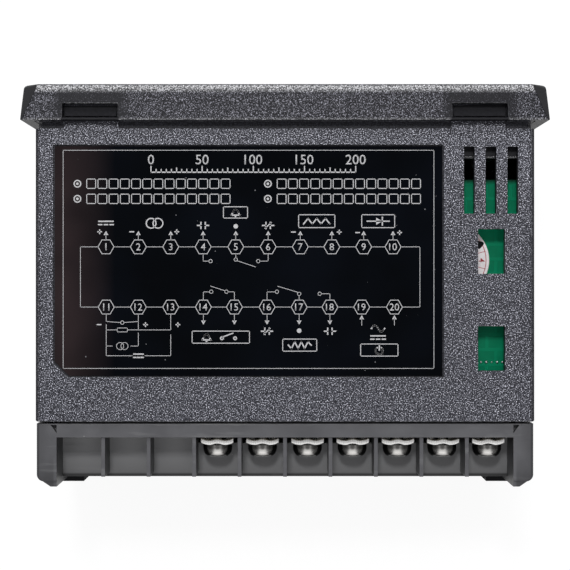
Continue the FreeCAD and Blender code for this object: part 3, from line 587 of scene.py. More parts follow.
dress(mottled(
    "sticker_paper", ((0.96, 0.89, 0.91), (1.0, 0.97, 0.98)), 0.35, {"Roughness": 0.75}), "quality_sticker")
sticker_low, sticker_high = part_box("quality_sticker")
sticker_middle = (sticker_low + sticker_high) / 2
sticker_place = Matrix.Translation((sticker_middle.x, sticker_middle.y, sticker_high.z)) @ PLAN_TURN
dial = bmesh.new()
for rim in STICKER_RIMS:
    ring(dial, CENTRE, rim, STICKER_LINE, 48)
for index in range(STICKER_NUMBERS):
    angle = math.radians(90 - index * 360 / STICKER_NUMBERS)
    spoke = Vector((math.cos(angle), math.sin(angle)))
    numeral(dial, str(index + 1), spoke * sum(STICKER_RIMS) / 2, STICKER_FIGURE, angle - math.radians(90))
    between = angle - math.radians(180 / STICKER_NUMBERS)
    spoke = Vector((math.cos(between), math.sin(between)))
    stroke(dial, spoke * STICKER_RIMS[1], spoke * STICKER_RIMS[0], SPOKE_LINE)
red_ink = mottled("red_print", ((0.46, 0.03, 0.05), (0.56, 0.06, 0.08)), 0.2, {"Roughness": 0.6})
lay("sticker_dial", dial, sticker_place, red_ink)
pen_dot = bmesh.new()
pen_face = disc(pen_dot, CENTRE, PEN_RADIUS, 18)
for vert in pen_face.verts:
    vert.co *= 1 + PEN_WOBBLE * math.sin(3 * math.atan2(vert.co.y, vert.co.x) + 0.6)
pen_ink = mottled(
    "marker_ink", ((0.003, 0.003, 0.004), (0.006, 0.006, 0.008)), 0.3,
    {"Roughness": 0.6, "Specular IOR Level": 0.1})
pen_place = Matrix.Translation((PEN_SPOT.x, PEN_SPOT.y, sticker_high.z + PRINT_FILM * MM))
lay("marker_dot", pen_dot, pen_place @ PLAN_TURN, pen_ink)

# Case: a plastic sleeve with the bezel's grain. It slides over the boards from behind the bezel, whose
# skirt enters it. Vents, two windows and a sunk place for the label are moulded in its top.
CASE_EDGE = 0.06 * MM
# The brightest case tone is painted glints.
CASE_TONES = ((0.009, 0.009, 0.012), (0.052, 0.053, 0.067), (0.88, 0.89, 1.0))
# A painted highlight on the case's rims.
CASE_RIM_HIGHLIGHT = (0.40, 0.40, 0.41)
case_finish = grained_plastic("case_plastic", CASE_TONES, CASE_RIM_HIGHLIGHT)
case_piece = softened("case_moulding", "case", case_finish, CASE_EDGE)
# The latch noses are smooth, and their near-black colour is painted shade.
shaded_nose_finish = mottled(
    "shaded_smooth_nose", ((0.011, 0.011, 0.013), (0.016, 0.016, 0.019)), 0.5,
    {"Roughness": 0.7, "Specular IOR Level": 0.1})
case_piece.data.materials.append(shaded_nose_finish)
for face in case_piece.data.polygons:
    if face.center.y < 0:
        face.material_index = 1

# Wiring label: a gloss black film stuck in its recess, screen-printed in light grey with the numbered
# terminals, the circuits behind them and blank fields for notes.
LABEL_BLACKS = ((0.0006, 0.0010, 0.0018), (0.0014, 0.0022, 0.0042))
# A painted sheen: a paler, reddish tone towards the label's +X end.
PAINTED_LABEL_SHEEN = (0.0270, 0.0185, 0.0195)
PAINTED_SHEEN_SPAN = (31.0 * MM, 40.0 * MM)
LABEL_DUST = (0.16, 0.16, 0.17)
FRAME_INSET = Vector((1.53, 0.75))
FRAME_SIZE = Vector((67.55, 39.75))
UPPER_COLUMNS = (7.8, 13.7, 19.6, 25.5, 31.45, 37.35, 43.2, 48.95, 54.75, 60.1)
LOWER_COLUMNS = (7.85, 13.7, 19.6, 25.55, 31.2, 37.15, 43.0, 48.6, 54.4, 60.35)
ROW_LEVELS = (17.6, 28.57)
LOOP_SIDES = (3.15, 65.0)
HEX_RADIUS = 1.53
HEX_FLAT = HEX_RADIUS * math.sqrt(3) / 2
HEX_LINE = 0.145
BOX_LINE = 0.15
TICK_LINE = 0.2
MEDIUM_LINE = 0.22
BOLD_LINE = 0.24
WAVE_LINE = 0.26
WAVE_STEPS = 12
SIGN_ARM = 0.32
NUMBER_HEIGHT = 1.3
NODE_RADIUS = 0.36
ARROW_HEAD = 0.5
BEAD_LEVEL = -2.62
RESISTOR_LEVEL = -4.16
INNER_BRACKET = -7.1
OUTER_BRACKET = -8.87
SCALE_SPAN = (16.0, 53.3)
SCALE_LEVEL = 4.0
SCALE_STEPS = 40
FIELD_COUNT = 13
FIELD_SIZE = Vector((1.62, 1.7))
FIELD_GAP = 0.42


def at(across, down):
    """A point of the label drawing, counted from the frame's upper left corner."""
    return Vector((across, -down))


def shift(point, across, up):
    """A point of a drawing, some millimetres across and up from another one."""
    return point + Vector((across, up))


def path(shape, points, width=LINE):
    """Printed lines from point to point."""
    for start, end in zip(points, points[1:]):
        stroke(shape, start, end, width)


def trace(shape, origin, steps, width=LINE):
    """Printed lines from point to point, each one given by its place from an origin."""
    path(shape, [shift(origin, *step) for step in steps], width)


def rectangle(shape, low, high, width=LINE):
    """The outline of a rectangle between two opposite corners."""
    path(shape, [low, Vector((high.x, low.y)), high, Vector((low.x, high.y)), low], width)


def arc(shape, centre, radius, start, end, steps=8):
    """A bold printed arc between two angles in degrees."""
    angles = [math.radians(start + (end - start) * step / steps) for step in range(steps + 1)]
    trace(shape, centre, [(radius * math.cos(a), radius * math.sin(a)) for a in angles], BOLD_LINE)


def arrow(shape, tail, tip):
    """A thin printed arrow with a filled head."""
    way = (tip - tail).normalized()
    stroke(shape, tail, tip - way * ARROW_HEAD)
    disc(shape, tip - way * ARROW_HEAD, ARROW_HEAD, 3, math.atan2(way.y, way.x) - math.radians(90))


def pole_sign(shape, centre, plus):
    """A plus or a minus sign."""
    trace(shape, centre, [(-SIGN_ARM, 0), (SIGN_ARM, 0)], MEDIUM_LINE)
    if plus:
        trace(shape, centre, [(0, -SIGN_ARM), (0, SIGN_ARM)], MEDIUM_LINE)


def sine(shape, centre, width, height):
    """One period of an alternating wave."""
    steps = [index / WAVE_STEPS for index in range(WAVE_STEPS + 1)]
    trace(shape, centre, [
        ((step - 0.5) * width, height / 2 * math.sin(step * math.tau)) for step in steps], WAVE_LINE)


def direct(shape, centre, width):
    """The sign for direct current: a full line over a broken one."""
    trace(shape, centre, [(-width / 2, 0.3), (width / 2, 0.3)], BOLD_LINE)
    for part in (-0.4, 0.0, 0.4):
        middle = shift(centre, part * width, -0.3)
        trace(shape, middle, [(-0.11 * width, 0), (0.11 * width, 0)], BOLD_LINE)


def contact_sign(shape, centre, closed):
    """Two facing plates, crossed by a bar where the contact is closed at rest."""
    for side in (-1, 1):
        facing = shift(centre, side * 0.4, 0)
        trace(shape, facing, [(0, -0.55), (0, 0.55)], BOLD_LINE)
        trace(shape, facing, [(0, 0), (side * 0.6, 0)], BOLD_LINE)
    if closed:
        trace(shape, centre, [(-0.55, -0.5), (0.55, 0.5)], TICK_LINE)


def lead(shape, terminal, level, run, node):
    """A line out of a terminal to a level and then aside, and the small ring near its end."""
    steps = [(0, math.copysign(HEX_FLAT, level)), (0, level)]
    if run:
        steps.append((run, level))
    trace(shape, terminal, steps)
    ring(shape, shift(terminal, *node), NODE_RADIUS)


def blank_fields(shape, start):
    """A row of empty boxes to write in."""
    for index in range(FIELD_COUNT):
        low = shift(start, index * (FIELD_SIZE.x + FIELD_GAP), -FIELD_SIZE.y / 2)
        rectangle(shape, low, low + FIELD_SIZE, BOX_LINE)


label_low, label_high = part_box("wiring_label")
label_finish, tree, shader, place = start_finish("label_film", {"Specular IOR Level": 0.08})
film_cloud_and_sheen = add_node(tree, "TexNoise", {"Vector": place, "Scale": 1 / (16 * MM), "Detail": 2.0}).outputs["Fac"]
film_tone = ramp(film_cloud_and_sheen, ((0.35, LABEL_BLACKS[0]), (0.65, LABEL_BLACKS[1])))
# Painted sheen towards the label's +X end, patchy with the film's tone cloud.
painted_sheen_mask = product(rise(axes(place)["X"], *PAINTED_SHEEN_SPAN), rise(film_cloud_and_sheen, 0.3, 0.6, 0.4, 1.0))
film_tone = blend(painted_sheen_mask, film_tone, PAINTED_LABEL_SHEEN)
marks = add_node(
    tree, "Group", {"Vector": place, "Specks per mm": 0.55, "Scuff mm": 3.0}, node_tree=handling).outputs
link(blend(marks["Dust"], film_tone, LABEL_DUST), shader["Base Color"])
link(rise(marks["Scuff"], 0.0, 1.0, 0.08, 0.16), shader["Roughness"])
dress(label_finish, "wiring_label")

drawing = bmesh.new()
rectangle(drawing, at(0, 0), at(FRAME_SIZE.x, FRAME_SIZE.y))
upper = [at(column, ROW_LEVELS[0]) for column in UPPER_COLUMNS]
lower = [at(column, ROW_LEVELS[1]) for column in LOWER_COLUMNS]
hex_tip = Vector((HEX_RADIUS, 0))
for row, first in ((upper, 1), (lower, 11)):
    for index, centre in enumerate(row):
        ring(drawing, centre, HEX_RADIUS, HEX_LINE, 6, math.radians(90))
        numeral(drawing, str(first + index), centre, NUMBER_HEIGHT)
    for centre, following in zip(row, row[1:]):
        stroke(drawing, centre + hex_tip, following - hex_tip)
for side, end, way in ((LOOP_SIDES[0], 0, -1), (LOOP_SIDES[1], -1, 1)):
    path(drawing, [
        upper[end] + way * hex_tip, at(side, ROW_LEVELS[0]), at(side, ROW_LEVELS[1]),
        lower[end] + way * hex_tip])

# Outgoing and incoming arrows at the terminals, and their poles
for row, tail, tip in (
        (upper, HEX_FLAT, 2.9), (lower[3:8], -HEX_FLAT, -3.2), (lower[8:], -3.3, -HEX_FLAT - 0.15)):
    for centre in row:
        arrow(drawing, shift(centre, 0, tail), shift(centre, 0, tip))
for terminal, across, up, plus in (
        (upper[0], -1.15, 2.75, True), (upper[1], -1.2, 2.75, False), (upper[2], 1.1, 2.75, True),
        (upper[6], -1.25, 2.7, False), (upper[7], 1.35, 2.7, True), (upper[8], -1.1, 2.6, False),
        (upper[9], 1.2, 2.6, True), (lower[0], -1.3, -3.2, False), (lower[1], 1.3, -3.2, True),
        (lower[2], 1.3, -3.2, True)):
    pole_sign(drawing, shift(terminal, across, up), plus)

# Relay contacts with their blades: changeover at 4 to 6 and 16 to 18, make contact at 14 and 15
for terminal, level, run, node in (
        (upper[3], -2.6, 1.0, (1.35, -2.6)), (upper[4], -2.0, 0, (0, -2.3)),
        (upper[5], -2.6, -1.45, (-1.81, -2.6)), (lower[3], 2.77, 1.08, (1.43, 2.8)),
        (lower[4], 2.77, -1.1, (-1.45, 2.8)), (lower[5], 2.77, 1.45, (1.8, 2.8)),
        (lower[6], 2.05, 0, (0, 2.4)), (lower[7], 2.43, -1.5, (-1.85, 2.43))):
    lead(drawing, terminal, level, run, node)
trace(drawing, upper[4], [(0.32, -2.55), (3.6, -3.65)])
stroke(drawing, shift(lower[3], 1.3, 3.83), shift(lower[4], -1.75, 2.98))
trace(drawing, lower[6], [(-0.25, 2.7), (-3.9, 3.8)])

# Sensor inputs at 11 to 13: thermocouple bead, resistor, and two brackets for current and voltage
sensor = (lower[0] + lower[1]) / 2
bead = shift(sensor, 0, BEAD_LEVEL - 0.2)
for terminal, side in ((lower[0], -1), (lower[1], 1)):
    path(drawing, [
        shift(terminal, 0, -HEX_FLAT), shift(terminal, 0, BEAD_LEVEL), shift(bead, side * NODE_RADIUS, 0)])
ring(drawing, bead, NODE_RADIUS)
trace(drawing, lower[1], [(0, BEAD_LEVEL), (0, -4.0)])
trace(drawing, lower[2], [(0, -HEX_FLAT), (0, RESISTOR_LEVEL)])
resistor = shift(sensor, 0, RESISTOR_LEVEL)
rectangle(drawing, shift(resistor, -0.92, -0.36), shift(resistor, 0.92, 0.36))
stroke(drawing, shift(lower[0], 0, RESISTOR_LEVEL), shift(resistor, -0.92, 0))
stroke(drawing, shift(resistor, 0.92, 0), shift(lower[2], 0, RESISTOR_LEVEL))
trace(drawing, lower[0], [(0, -3.2), (0, OUTER_BRACKET), (4.75, OUTER_BRACKET)])
trace(drawing, lower[2], [(-4.7, OUTER_BRACKET), (0, OUTER_BRACKET), (0, -5.05)])
trace(drawing, lower[0], [(0, INNER_BRACKET), (1.1, INNER_BRACKET)])
trace(drawing, lower[1], [(-1.4, INNER_BRACKET), (0, INNER_BRACKET), (0, -4.7)])
for side in (-1, 1):
    ring(drawing, shift(sensor, side * 0.4, INNER_BRACKET), 0.7)
direct(drawing, shift((lower[0] + lower[2]) / 2, 0, OUTER_BRACKET), 1.7)

# Signs in the framed boxes and beside the arrows
boxes = [
    (at(29.2, 10.3), at(33.6, 12.35)), (at(42.9, 11.75), at(49.5, 14.1)), (at(54.4, 11.75), at(60.4, 14.1)),
    (at(23.5, 32.95), at(33.95, 35.15)), (at(40.0, 34.4), at(46.2, 36.6)), (at(54.2, 35.3), at(61.0, 37.5))]
for low, high in boxes:
    rectangle(drawing, low, high, BOX_LINE)
alarm, pulse, diode, alarm_contact, heater, power = ((low + high) / 2 for low, high in boxes)
for bell in (alarm, shift(alarm_contact, -2.6, 0)):
    arc(drawing, bell, 0.48, 0, 180)
    trace(drawing, bell, [(-0.48, 0), (-0.8, -0.5), (0.8, -0.5), (0.48, 0)], BOLD_LINE)
    disc(drawing, shift(bell, 0, -0.74), 0.17)
trace(drawing, pulse, [
    (-2.4 + 0.8 * (index // 2 + index % 2), -0.5 if index % 4 in (0, 3) else 0.5)
    for index in range(13)], BOLD_LINE)
disc(drawing, diode, 0.75, 3, math.radians(-90))
trace(drawing, diode, [(0.75, -0.7), (0.75, 0.7)], BOLD_LINE)
trace(drawing, diode, [(-2.0, 0), (2.0, 0)], MEDIUM_LINE)
blade = shift(alarm_contact, 1.4, 0)
for side in (-1, 1):
    ring(drawing, shift(blade, side * 1.2, -0.2), NODE_RADIUS, MEDIUM_LINE)
trace(drawing, blade, [(-1.0, 0.05), (0.8, 0.72)], MEDIUM_LINE)
trace(drawing, heater, [
    (-2.1 + 0.6 * index, 0 if index in (0, 7) else 0.6 * (-1) ** index) for index in range(8)], BOLD_LINE)
arc(drawing, shift(power, 0, -0.12), 0.66, 125, 415, 14)
stroke(drawing, power, shift(power, 0, 0.75), BOLD_LINE)
direct(drawing, shift(upper[0], 0, 4.35), 2.6)
for side in (-1, 1):
    ring(drawing, shift((upper[1] + upper[2]) / 2, side * 0.62, 4.3), 1.0, MEDIUM_LINE, 24)
for terminal, level, closed in (
        (upper[3], 3.9, False), (upper[5], 3.9, True), (lower[5], -4.4, True), (lower[7], -4.4, False)):
    contact_sign(drawing, shift(terminal, 0, level), closed)
for common in (shift(upper[4], 0, 3.75), shift(lower[6], 0, -4.3)):
    disc(drawing, common, 0.42)
supply = (lower[8] + lower[9]) / 2
sine(drawing, shift(supply, 0, -3.9), 2.4, 1.1)
direct(drawing, shift(supply, 0, -5.55), 2.6)

# Graduated scale, with blank fields to write in below it
for step in range(SCALE_STEPS + 1):
    across = SCALE_SPAN[0] + (SCALE_SPAN[1] - SCALE_SPAN[0]) * step / SCALE_STEPS
    tall = 1.05 if step % 10 == 0 else 0.75 if step % 5 == 0 else 0.5
    stroke(drawing, at(across, SCALE_LEVEL), at(across, SCALE_LEVEL - tall), TICK_LINE)
    if step % 10 == 0:
        numeral(drawing, str(step * 5), at(across, 1.7), 1.8)
stroke(drawing, at(SCALE_SPAN[0], SCALE_LEVEL), at(SCALE_SPAN[1], SCALE_LEVEL), MEDIUM_LINE)
for column in (1.9, 36.6):
    for level in (6.1, 8.85):
        ring(drawing, at(column + 0.7, level), 0.72, MEDIUM_LINE)
        disc(drawing, at(column + 0.7, level), 0.24)
        blank_fields(drawing, at(column + 2.4, level))

label_corner = Matrix.Translation((
    label_high.x - FRAME_INSET.x * MM, label_low.y + FRAME_INSET.y * MM, label_high.z))
lay("label_print", drawing, label_corner @ PLAN_TURN, print_ink)

# Terminal block: one satin grey moulding whose spigot snaps into the rear of the case. Two rows of cells
# hold the terminals. Handling leaves it faintly scuffed and a little dusty.
BLOCK_EDGE = 0.035 * MM
BLOCK_GREYS = ((0.072, 0.072, 0.078), (0.096, 0.096, 0.103))
BLOCK_SCUFF = (0.150, 0.151, 0.156)
BLOCK_DUST = (0.30, 0.30, 0.30)
BLOCK_SHADE = (0.010, 0.010, 0.011)
CELL_DEPTH = (20.5 * MM, 14.0 * MM)
# Painted light and shade in the cells: paler walls and floors, the floors darkening towards their rear edge.
CELL_PAINTED_LIGHT = (0.165, 0.166, 0.170)
CELL_FLOOR = (58.5 * MM, 65.75 * MM)
FLOOR_LIGHT_AND_SHADE = (
    (0.0, (0.29, 0.29, 0.295)), (0.28, (0.24, 0.24, 0.245)), (0.5, (0.175, 0.176, 0.18)),
    (0.9, (0.120, 0.120, 0.123)), (0.945, (0.025, 0.025, 0.026)))
POST_INNER = (42.0 * MM, 42.4 * MM)
POST_SIDE = (42.8 * MM, 44.4 * MM)
POST_EDGE = (44.5 * MM, 44.9 * MM)
POST_END = (60.5 * MM, 65.5 * MM)
LUG_START = (65.72 * MM, 65.8 * MM)
LUG_LEVEL = (5.5 * MM, 5.1 * MM)

block_finish, tree, shader, place = start_finish("block_plastic", {"Specular IOR Level": 0.3})
marks = add_node(
    tree, "Group", {"Vector": place, "Specks per mm": 0.6, "Scuff mm": 2.2}, node_tree=handling).outputs
cloud = add_node(tree, "TexNoise", {"Vector": place, "Scale": 1 / (5 * MM), "Detail": 3.0}).outputs["Fac"]
across, along, level, sideways, upright = bearings(place)
upward = rise(upright, 0.5, 0.8)
tone = ramp(cloud, ((0.3, BLOCK_GREYS[0]), (0.7, BLOCK_GREYS[1])))
# Painted light and shade in the cells.
cell_light_and_shade = blend(upward, CELL_PAINTED_LIGHT, ramp(rise(along, *CELL_FLOOR), FLOOR_LIGHT_AND_SHADE))
tone = blend(rise(level, *CELL_DEPTH), tone, cell_light_and_shade)
tone = blend(marks["Scuff"], tone, BLOCK_SCUFF)
tone = blend(marks["Dust"], tone, BLOCK_DUST)
# Painted shade: the sideways faces of the dividers and end walls, the lug at the rear, and the sides, outer
# edge and rear end of the end posts.
past_cells = rise(across, *POST_INNER)
wall_shade = product(rise(sideways, 0.7, 0.95), rise(past_cells, 0.0, 1.0, 0.8, 0.0))
shaded_lug = product(rise(along, *LUG_START), rise(level, *LUG_LEVEL))
post_edge = rise(across, *POST_EDGE)
post_side_shade = greatest(rise(across, *POST_SIDE, 0.0, 0.25), product(post_edge, 0.5))
post_end_shade = product(past_cells, rise(along, *POST_END, 0.0, 0.5))
post_shade = product(upward, greatest(post_side_shade, post_end_shade))
shade = greatest(wall_shade, shaded_lug, post_shade)
link(blend(shade, tone, BLOCK_SHADE), shader["Base Color"])
satin_level = rise(cloud, 0.0, 1.0, 0.34, 0.52)
matt = greatest(shaded_lug, product(post_edge, upward), satin_level)
link(matt, shader["Roughness"])
satin = add_node(tree, "Group", {"Vector": place, "Grains per mm": 9.0}, node_tree=spark_grain).outputs
emboss(shader, satin["Height"], 0.008 * MM, 0.5)
softened("terminal_block_moulding", "terminal_block", block_finish, BLOCK_EDGE)

# Contact plates: tinned brass strips seated in the block behind each fitted cell, with tails soldered to
# the main boards.
dress(mottled(
    "tinned_brass", ((0.52, 0.47, 0.36), (0.64, 0.60, 0.50)), 0.8, {"Roughness": 0.32, "Metallic": 1.0}),
    "upper_contacts", "lower_contacts")

# Clamp plates: stamped and plated steel, bent to a shallow wave with a serrated wire side. Each one hangs
# on its screw and slides in and out of its cell with it.
TERMINALS = range(4, 21)
PLATE_THICKNESS = 0.85 * MM
PLATE_BORE = 1.62 * MM
PLATE_COLUMNS = 54
PLATE_ROUND = 0.17 * MM
PLATE_RIBS = 18
RIB_DEPTH = 0.055 * MM
END_DIP = 0.4 * MM
MIDDLE_DIP = 0.25 * MM
CREST_SHARE = 1 / (1 + math.sqrt(END_DIP / MIDDLE_DIP))
REAR_TURN = Matrix.Rotation(math.radians(-90), 4, "X")


def cut_away(piece_mesh, cutter_mesh):
    """The first mesh with the second one taken out of it, smooth but for its sharp edges."""
    stock = put("stock", piece_mesh)
    tool = put("tool", cutter_mesh)
    cut = stock.modifiers.new("cut", "BOOLEAN")
    cut.operation = "DIFFERENCE"
    cut.solver = "EXACT"
    cut.object = tool
    bpy.context.view_layer.update()
    left = bpy.data.meshes.new_from_object(stock.evaluated_get(bpy.context.evaluated_depsgraph_get()))
    for item in (stock, tool):
        bpy.data.objects.remove(item)
    left.shade_smooth()
    left.set_sharp_from_angle(angle=EDGE_ANGLE)
    return left


def fit_terminals(names, pattern, top, finish, *extra_finishes, turn=0.0):
    """A copy of a pattern in each fitted cell. The names are of the pieces, their bodies and their nodes."""
    for number in TERMINALS:
        piece_name, body, node = ("%s_%02d" % (name, number) for name in names)
        low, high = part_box(node)
        middle = (low + high) / 2
        mesh = pattern.copy()
        mesh.transform(
            Matrix.Translation((middle.x, high.y - top, middle.z)) @ REAR_TURN
            @ Matrix.Rotation(turn * number, 4, "Z"))
        piece = new_piece(piece_name, mesh, finish, body)
        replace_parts(piece, node)
        for extra in extra_finishes:
            mesh.materials.append(extra)


def wave_dip(share):
    """How far the plate's rear face lies below its crests, by the share of the half width."""
    share = abs(share)
    if share < CREST_SHARE:
        return MIDDLE_DIP * (1 - (share / CREST_SHARE) ** 2) ** 2
    return END_DIP * ((share - CREST_SHARE) / (1 - CREST_SHARE)) ** 2


plate_low, plate_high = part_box("clamp_plate_04")
plate_half = (plate_high - plate_low) / 2
plate = bmesh.new()
bmesh.ops.create_grid(plate, x_segments=PLATE_COLUMNS, y_segments=1, size=1.0)
bmesh.ops.scale(plate, vec=(plate_half.x, plate_half.z, 1), verts=plate.verts)
rear_face = plate.faces[:]
bmesh.ops.solidify(plate, geom=rear_face, thickness=PLATE_THICKNESS)
long_edges = [
    edge for edge in plate.edges
    if abs(edge.verts[0].co.x - edge.verts[1].co.x) > MERGE
    and all(abs(abs(vert.co.y) - plate_half.z) < MERGE for vert in edge.verts)]
bmesh.ops.bevel(plate, geom=long_edges, offset=PLATE_ROUND, segments=4, profile=0.5, affect="EDGES")
front_z = min(vert.co.z for vert in plate.verts)
for vert in plate.verts:
    share = vert.co.x / plate_half.x
    at_front = abs(vert.co.z - front_z) < PLATE_THICKNESS / 2
    rib = RIB_DEPTH * math.cos(share * PLATE_RIBS * math.pi) if at_front else 0.0
    vert.co.z += rib - wave_dip(share)
bmesh.ops.recalc_face_normals(plate, faces=plate.faces)
bore = bmesh.new()
bmesh.ops.create_cone(
    bore, cap_ends=True, segments=32, radius1=PLATE_BORE, radius2=PLATE_BORE, depth=6 * PLATE_THICKNESS)
plate_mesh = cut_away(to_mesh("plate", plate), to_mesh("bore", bore))
plate_top = max(vert.co.z for vert in plate_mesh.vertices)

plate_finish, tree, shader, place = start_finish("stamped_plate", {"Metallic": 0.5})
stripes = add_node(
    tree, "TexWave",
    {"Vector": place, "Scale": 1 / (1.05 * MM), "Distortion": 1.5, "Detail": 2.0, "Detail Scale": 2.0},
    wave_type="BANDS", bands_direction="X").outputs["Fac"]
link(ramp(stripes, ((0.0, (0.86, 0.85, 0.83)), (1.0, (1.0, 0.99, 0.97)))), shader["Base Color"])
link(rise(stripes, 0.0, 1.0, 0.28, 0.16), shader["Roughness"])
emboss(shader, stripes, 0.025 * MM, 0.6)
fit_terminals(("wave_plate", "clamp", "clamp_plate"), plate_mesh, plate_top, plate_finish)

# Terminal screws: M3 pan-head machine screws, cold-headed and nickel plated, with a cross recess and a
# plain neck for the captive clamp plate. Each one passes through its plate into the tapped contact.
HEAD_HEIGHT = 2.25 * MM
HEAD_SKIRT = 0.45 * MM
HEAD_FLAT = 1.55 * MM
CURVE_STEPS = 8
THREAD_PITCH = 0.5 * MM
THREAD_DEPTH = 0.27 * MM
NECK_LENGTH = 2.6 * MM
SHANK_RADIUS = 1.47 * MM
RECESS_HALF = 0.42 * MM
RECESS_ARM = 1.25 * MM
RECESS_DEPTH = 1.3 * MM
RECESS_TAPER = 0.55
RECESS_SHADE = 0.1 * MM
SPIN_STEPS = 40
SCREW_TURN = 2.4

head_radius = (screw_high.x - screw_low.x) / 2
shank_length = screw_high.y - screw_low.y - HEAD_HEIGHT
thread_root = SHANK_RADIUS - THREAD_DEPTH
ridges = int((shank_length - NECK_LENGTH) / THREAD_PITCH)
profile = [(0.0, -shank_length), (thread_root, -shank_length)]
for ridge in range(ridges):
    valley = -shank_length + (ridge + 0.5) * THREAD_PITCH
    profile += [(thread_root, valley), (SHANK_RADIUS, valley + THREAD_PITCH / 2)]
profile += [(thread_root, -shank_length + (ridges + 0.5) * THREAD_PITCH), (thread_root, 0.0)]
profile.append((head_radius, 0.0))
for step in range(CURVE_STEPS + 1):
    lean = math.radians(90) * step / CURVE_STEPS
    profile.append((
        HEAD_FLAT + (head_radius - HEAD_FLAT) * math.cos(lean),
        HEAD_SKIRT + (HEAD_HEIGHT - HEAD_SKIRT) * math.sin(lean)))
profile.append((0.0, HEAD_HEIGHT))
screw = bmesh.new()
chain = [screw.verts.new((radius, 0, height)) for radius, height in profile]
for start, end in zip(chain, chain[1:]):
    screw.edges.new((start, end))
bmesh.ops.spin(
    screw, geom=screw.verts[:] + screw.edges[:], cent=(0, 0, 0), axis=(0, 0, 1), angle=math.tau,
    steps=SPIN_STEPS, use_merge=True)
bmesh.ops.remove_doubles(screw, verts=screw.verts, dist=MERGE)
bmesh.ops.recalc_face_normals(screw, faces=screw.faces)
recess = bmesh.new()
bmesh.ops.create_cube(recess, size=2 * RECESS_HALF)
bmesh.ops.scale(recess, vec=(1, 1, RECESS_DEPTH / RECESS_HALF), verts=recess.verts)
arms = [face for face in recess.faces if abs(face.normal.z) < 0.5]
for arm in bmesh.ops.extrude_discrete_faces(recess, faces=arms)["faces"]:
    bmesh.ops.translate(recess, vec=arm.normal * RECESS_ARM, verts=arm.verts)
bmesh.ops.translate(recess, vec=(0, 0, HEAD_HEIGHT), verts=recess.verts)
for vert in recess.verts:
    if vert.co.z < HEAD_HEIGHT:
        vert.co.x *= RECESS_TAPER
        vert.co.y *= RECESS_TAPER
screw_mesh = cut_away(to_mesh("screw", screw), to_mesh("recess", recess))
# Painted shade: the faces in the cross recess get a darker plating.
for face in screw_mesh.polygons:
    sunk = HEAD_SKIRT < face.center.z < HEAD_HEIGHT - RECESS_SHADE
    if sunk and face.center.to_2d().length < HEAD_FLAT:
        face.material_index = 1
recess_shade_finish = mottled(
    "shaded_recess_plating", ((0.10, 0.098, 0.094), (0.16, 0.157, 0.15)), 0.2,
    {"Roughness": 0.5, "Metallic": 0.8})
fit_terminals(
    ("pan_head_screw", "screw", "terminal_screw"), screw_mesh, HEAD_HEIGHT, steel_finish, recess_shade_finish,
    turn=SCREW_TURN)

# Studio: a plain white floor under the object, two soft lamps over its front, the lower one without a
# mirror image, and a glow from all sides that is stronger behind it. The camera looks straight down on
# the label.
CAMERA_PLACE = (0.0, 29.9 * MM, 322 * MM)
CAMERA_LENS = 104.1
FLOOR_HALF = 1.5
FLOOR_WHITE = (0.86, 0.86, 0.86, 1)
FLOOR_GLOW = 0.85
BRIGHT_AIR = (0.95, 0.95, 0.96)
AIM = Vector((0, 30, 20)) * MM
bpy.context.scene.view_settings.view_transform = "Standard"

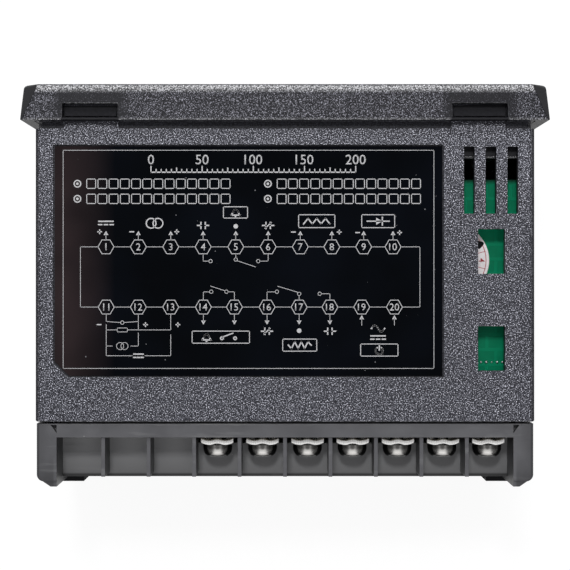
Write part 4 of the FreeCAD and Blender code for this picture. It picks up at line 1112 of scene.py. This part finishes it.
floor_shape = bmesh.new()
bmesh.ops.create_grid(floor_shape, x_segments=1, y_segments=1, size=FLOOR_HALF)
bmesh.ops.translate(floor_shape, vec=(0, 0, cad_low.z), verts=floor_shape.verts)
floor = put("floor", to_mesh("floor", floor_shape))
floor_finish = bpy.data.materials.new("white_floor")
floor_finish.use_nodes = True
tree = floor_finish.node_tree
tree.nodes.remove(tree.nodes["Principled BSDF"])
paper = add_node(tree, "BsdfDiffuse", {"Color": FLOOR_WHITE})
glow = add_node(tree, "Emission", {"Color": (1, 1, 1, 1), "Strength": 1.06})
rays = add_node(tree, "LightPath", {}).outputs
seen = greatest(rays["Is Camera Ray"], rays["Is Glossy Ray"], rays["Is Transmission Ray"])
lit_paper = add_node(tree, "MixShader", {
    "Fac": product(seen, FLOOR_GLOW), 1: paper.outputs["BSDF"], 2: glow.outputs["Emission"]})
link(lit_paper.outputs["Shader"], tree.nodes["Material Output"].inputs["Surface"])
floor.data.materials.append(floor_finish)

air = bpy.data.worlds.new("studio_air")
air.use_nodes = True
bpy.context.scene.world = air
tree = air.node_tree
air_way = axes(add_node(tree, "TexCoord", {}).outputs["Generated"])
sky = ramp(air_way["Z"], (
    (0.0, (1.0, 1.0, 1.0)), (0.1, (0.16, 0.16, 0.165)), (0.55, (0.38, 0.38, 0.385)), (0.75, BRIGHT_AIR),
    (0.92, (1.20, 1.20, 1.21)), (0.97, (0.30, 0.30, 0.305))))
side_sky = ramp(air_way["Z"], (
    (0.0, (1.0, 1.0, 1.0)), (0.1, (0.36, 0.36, 0.365)), (0.4, (0.12, 0.12, 0.125))))
behind = rise(air_way["Y"], 0.45, 0.8)
aside = rise(calc("ABSOLUTE", air_way["X"]), 0.35, 0.65)
air_tone = blend(aside, blend(behind, sky, BRIGHT_AIR), side_sky)
link(air_tone, tree.nodes["Background"].inputs["Color"])


def soft_lamp(name, toward, distance, size, power):
    """A square soft lamp that shines at the object from a direction."""
    light = bpy.data.lights.new(name, "AREA")
    light.size = size
    light.energy = power
    lamp = put(name, light)
    lamp.location = AIM + Vector(toward).normalized() * distance
    lamp.rotation_euler = (AIM - lamp.location).to_track_quat("-Z", "Y").to_euler()
    return lamp


soft_lamp("front_lamp", toward=(0.06, -0.40, 0.91), distance=0.9, size=0.13, power=3.2)
low_lamp = soft_lamp("low_lamp", toward=(0.04, -0.90, 0.42), distance=0.42, size=0.25, power=1.25)
low_lamp.visible_glossy = False

lens = bpy.data.cameras.new("view")
lens.lens = CAMERA_LENS
camera = put("view", lens)
camera.location = CAMERA_PLACE
camera.rotation_euler = (0, 0, math.pi)
bpy.context.scene.camera = camera
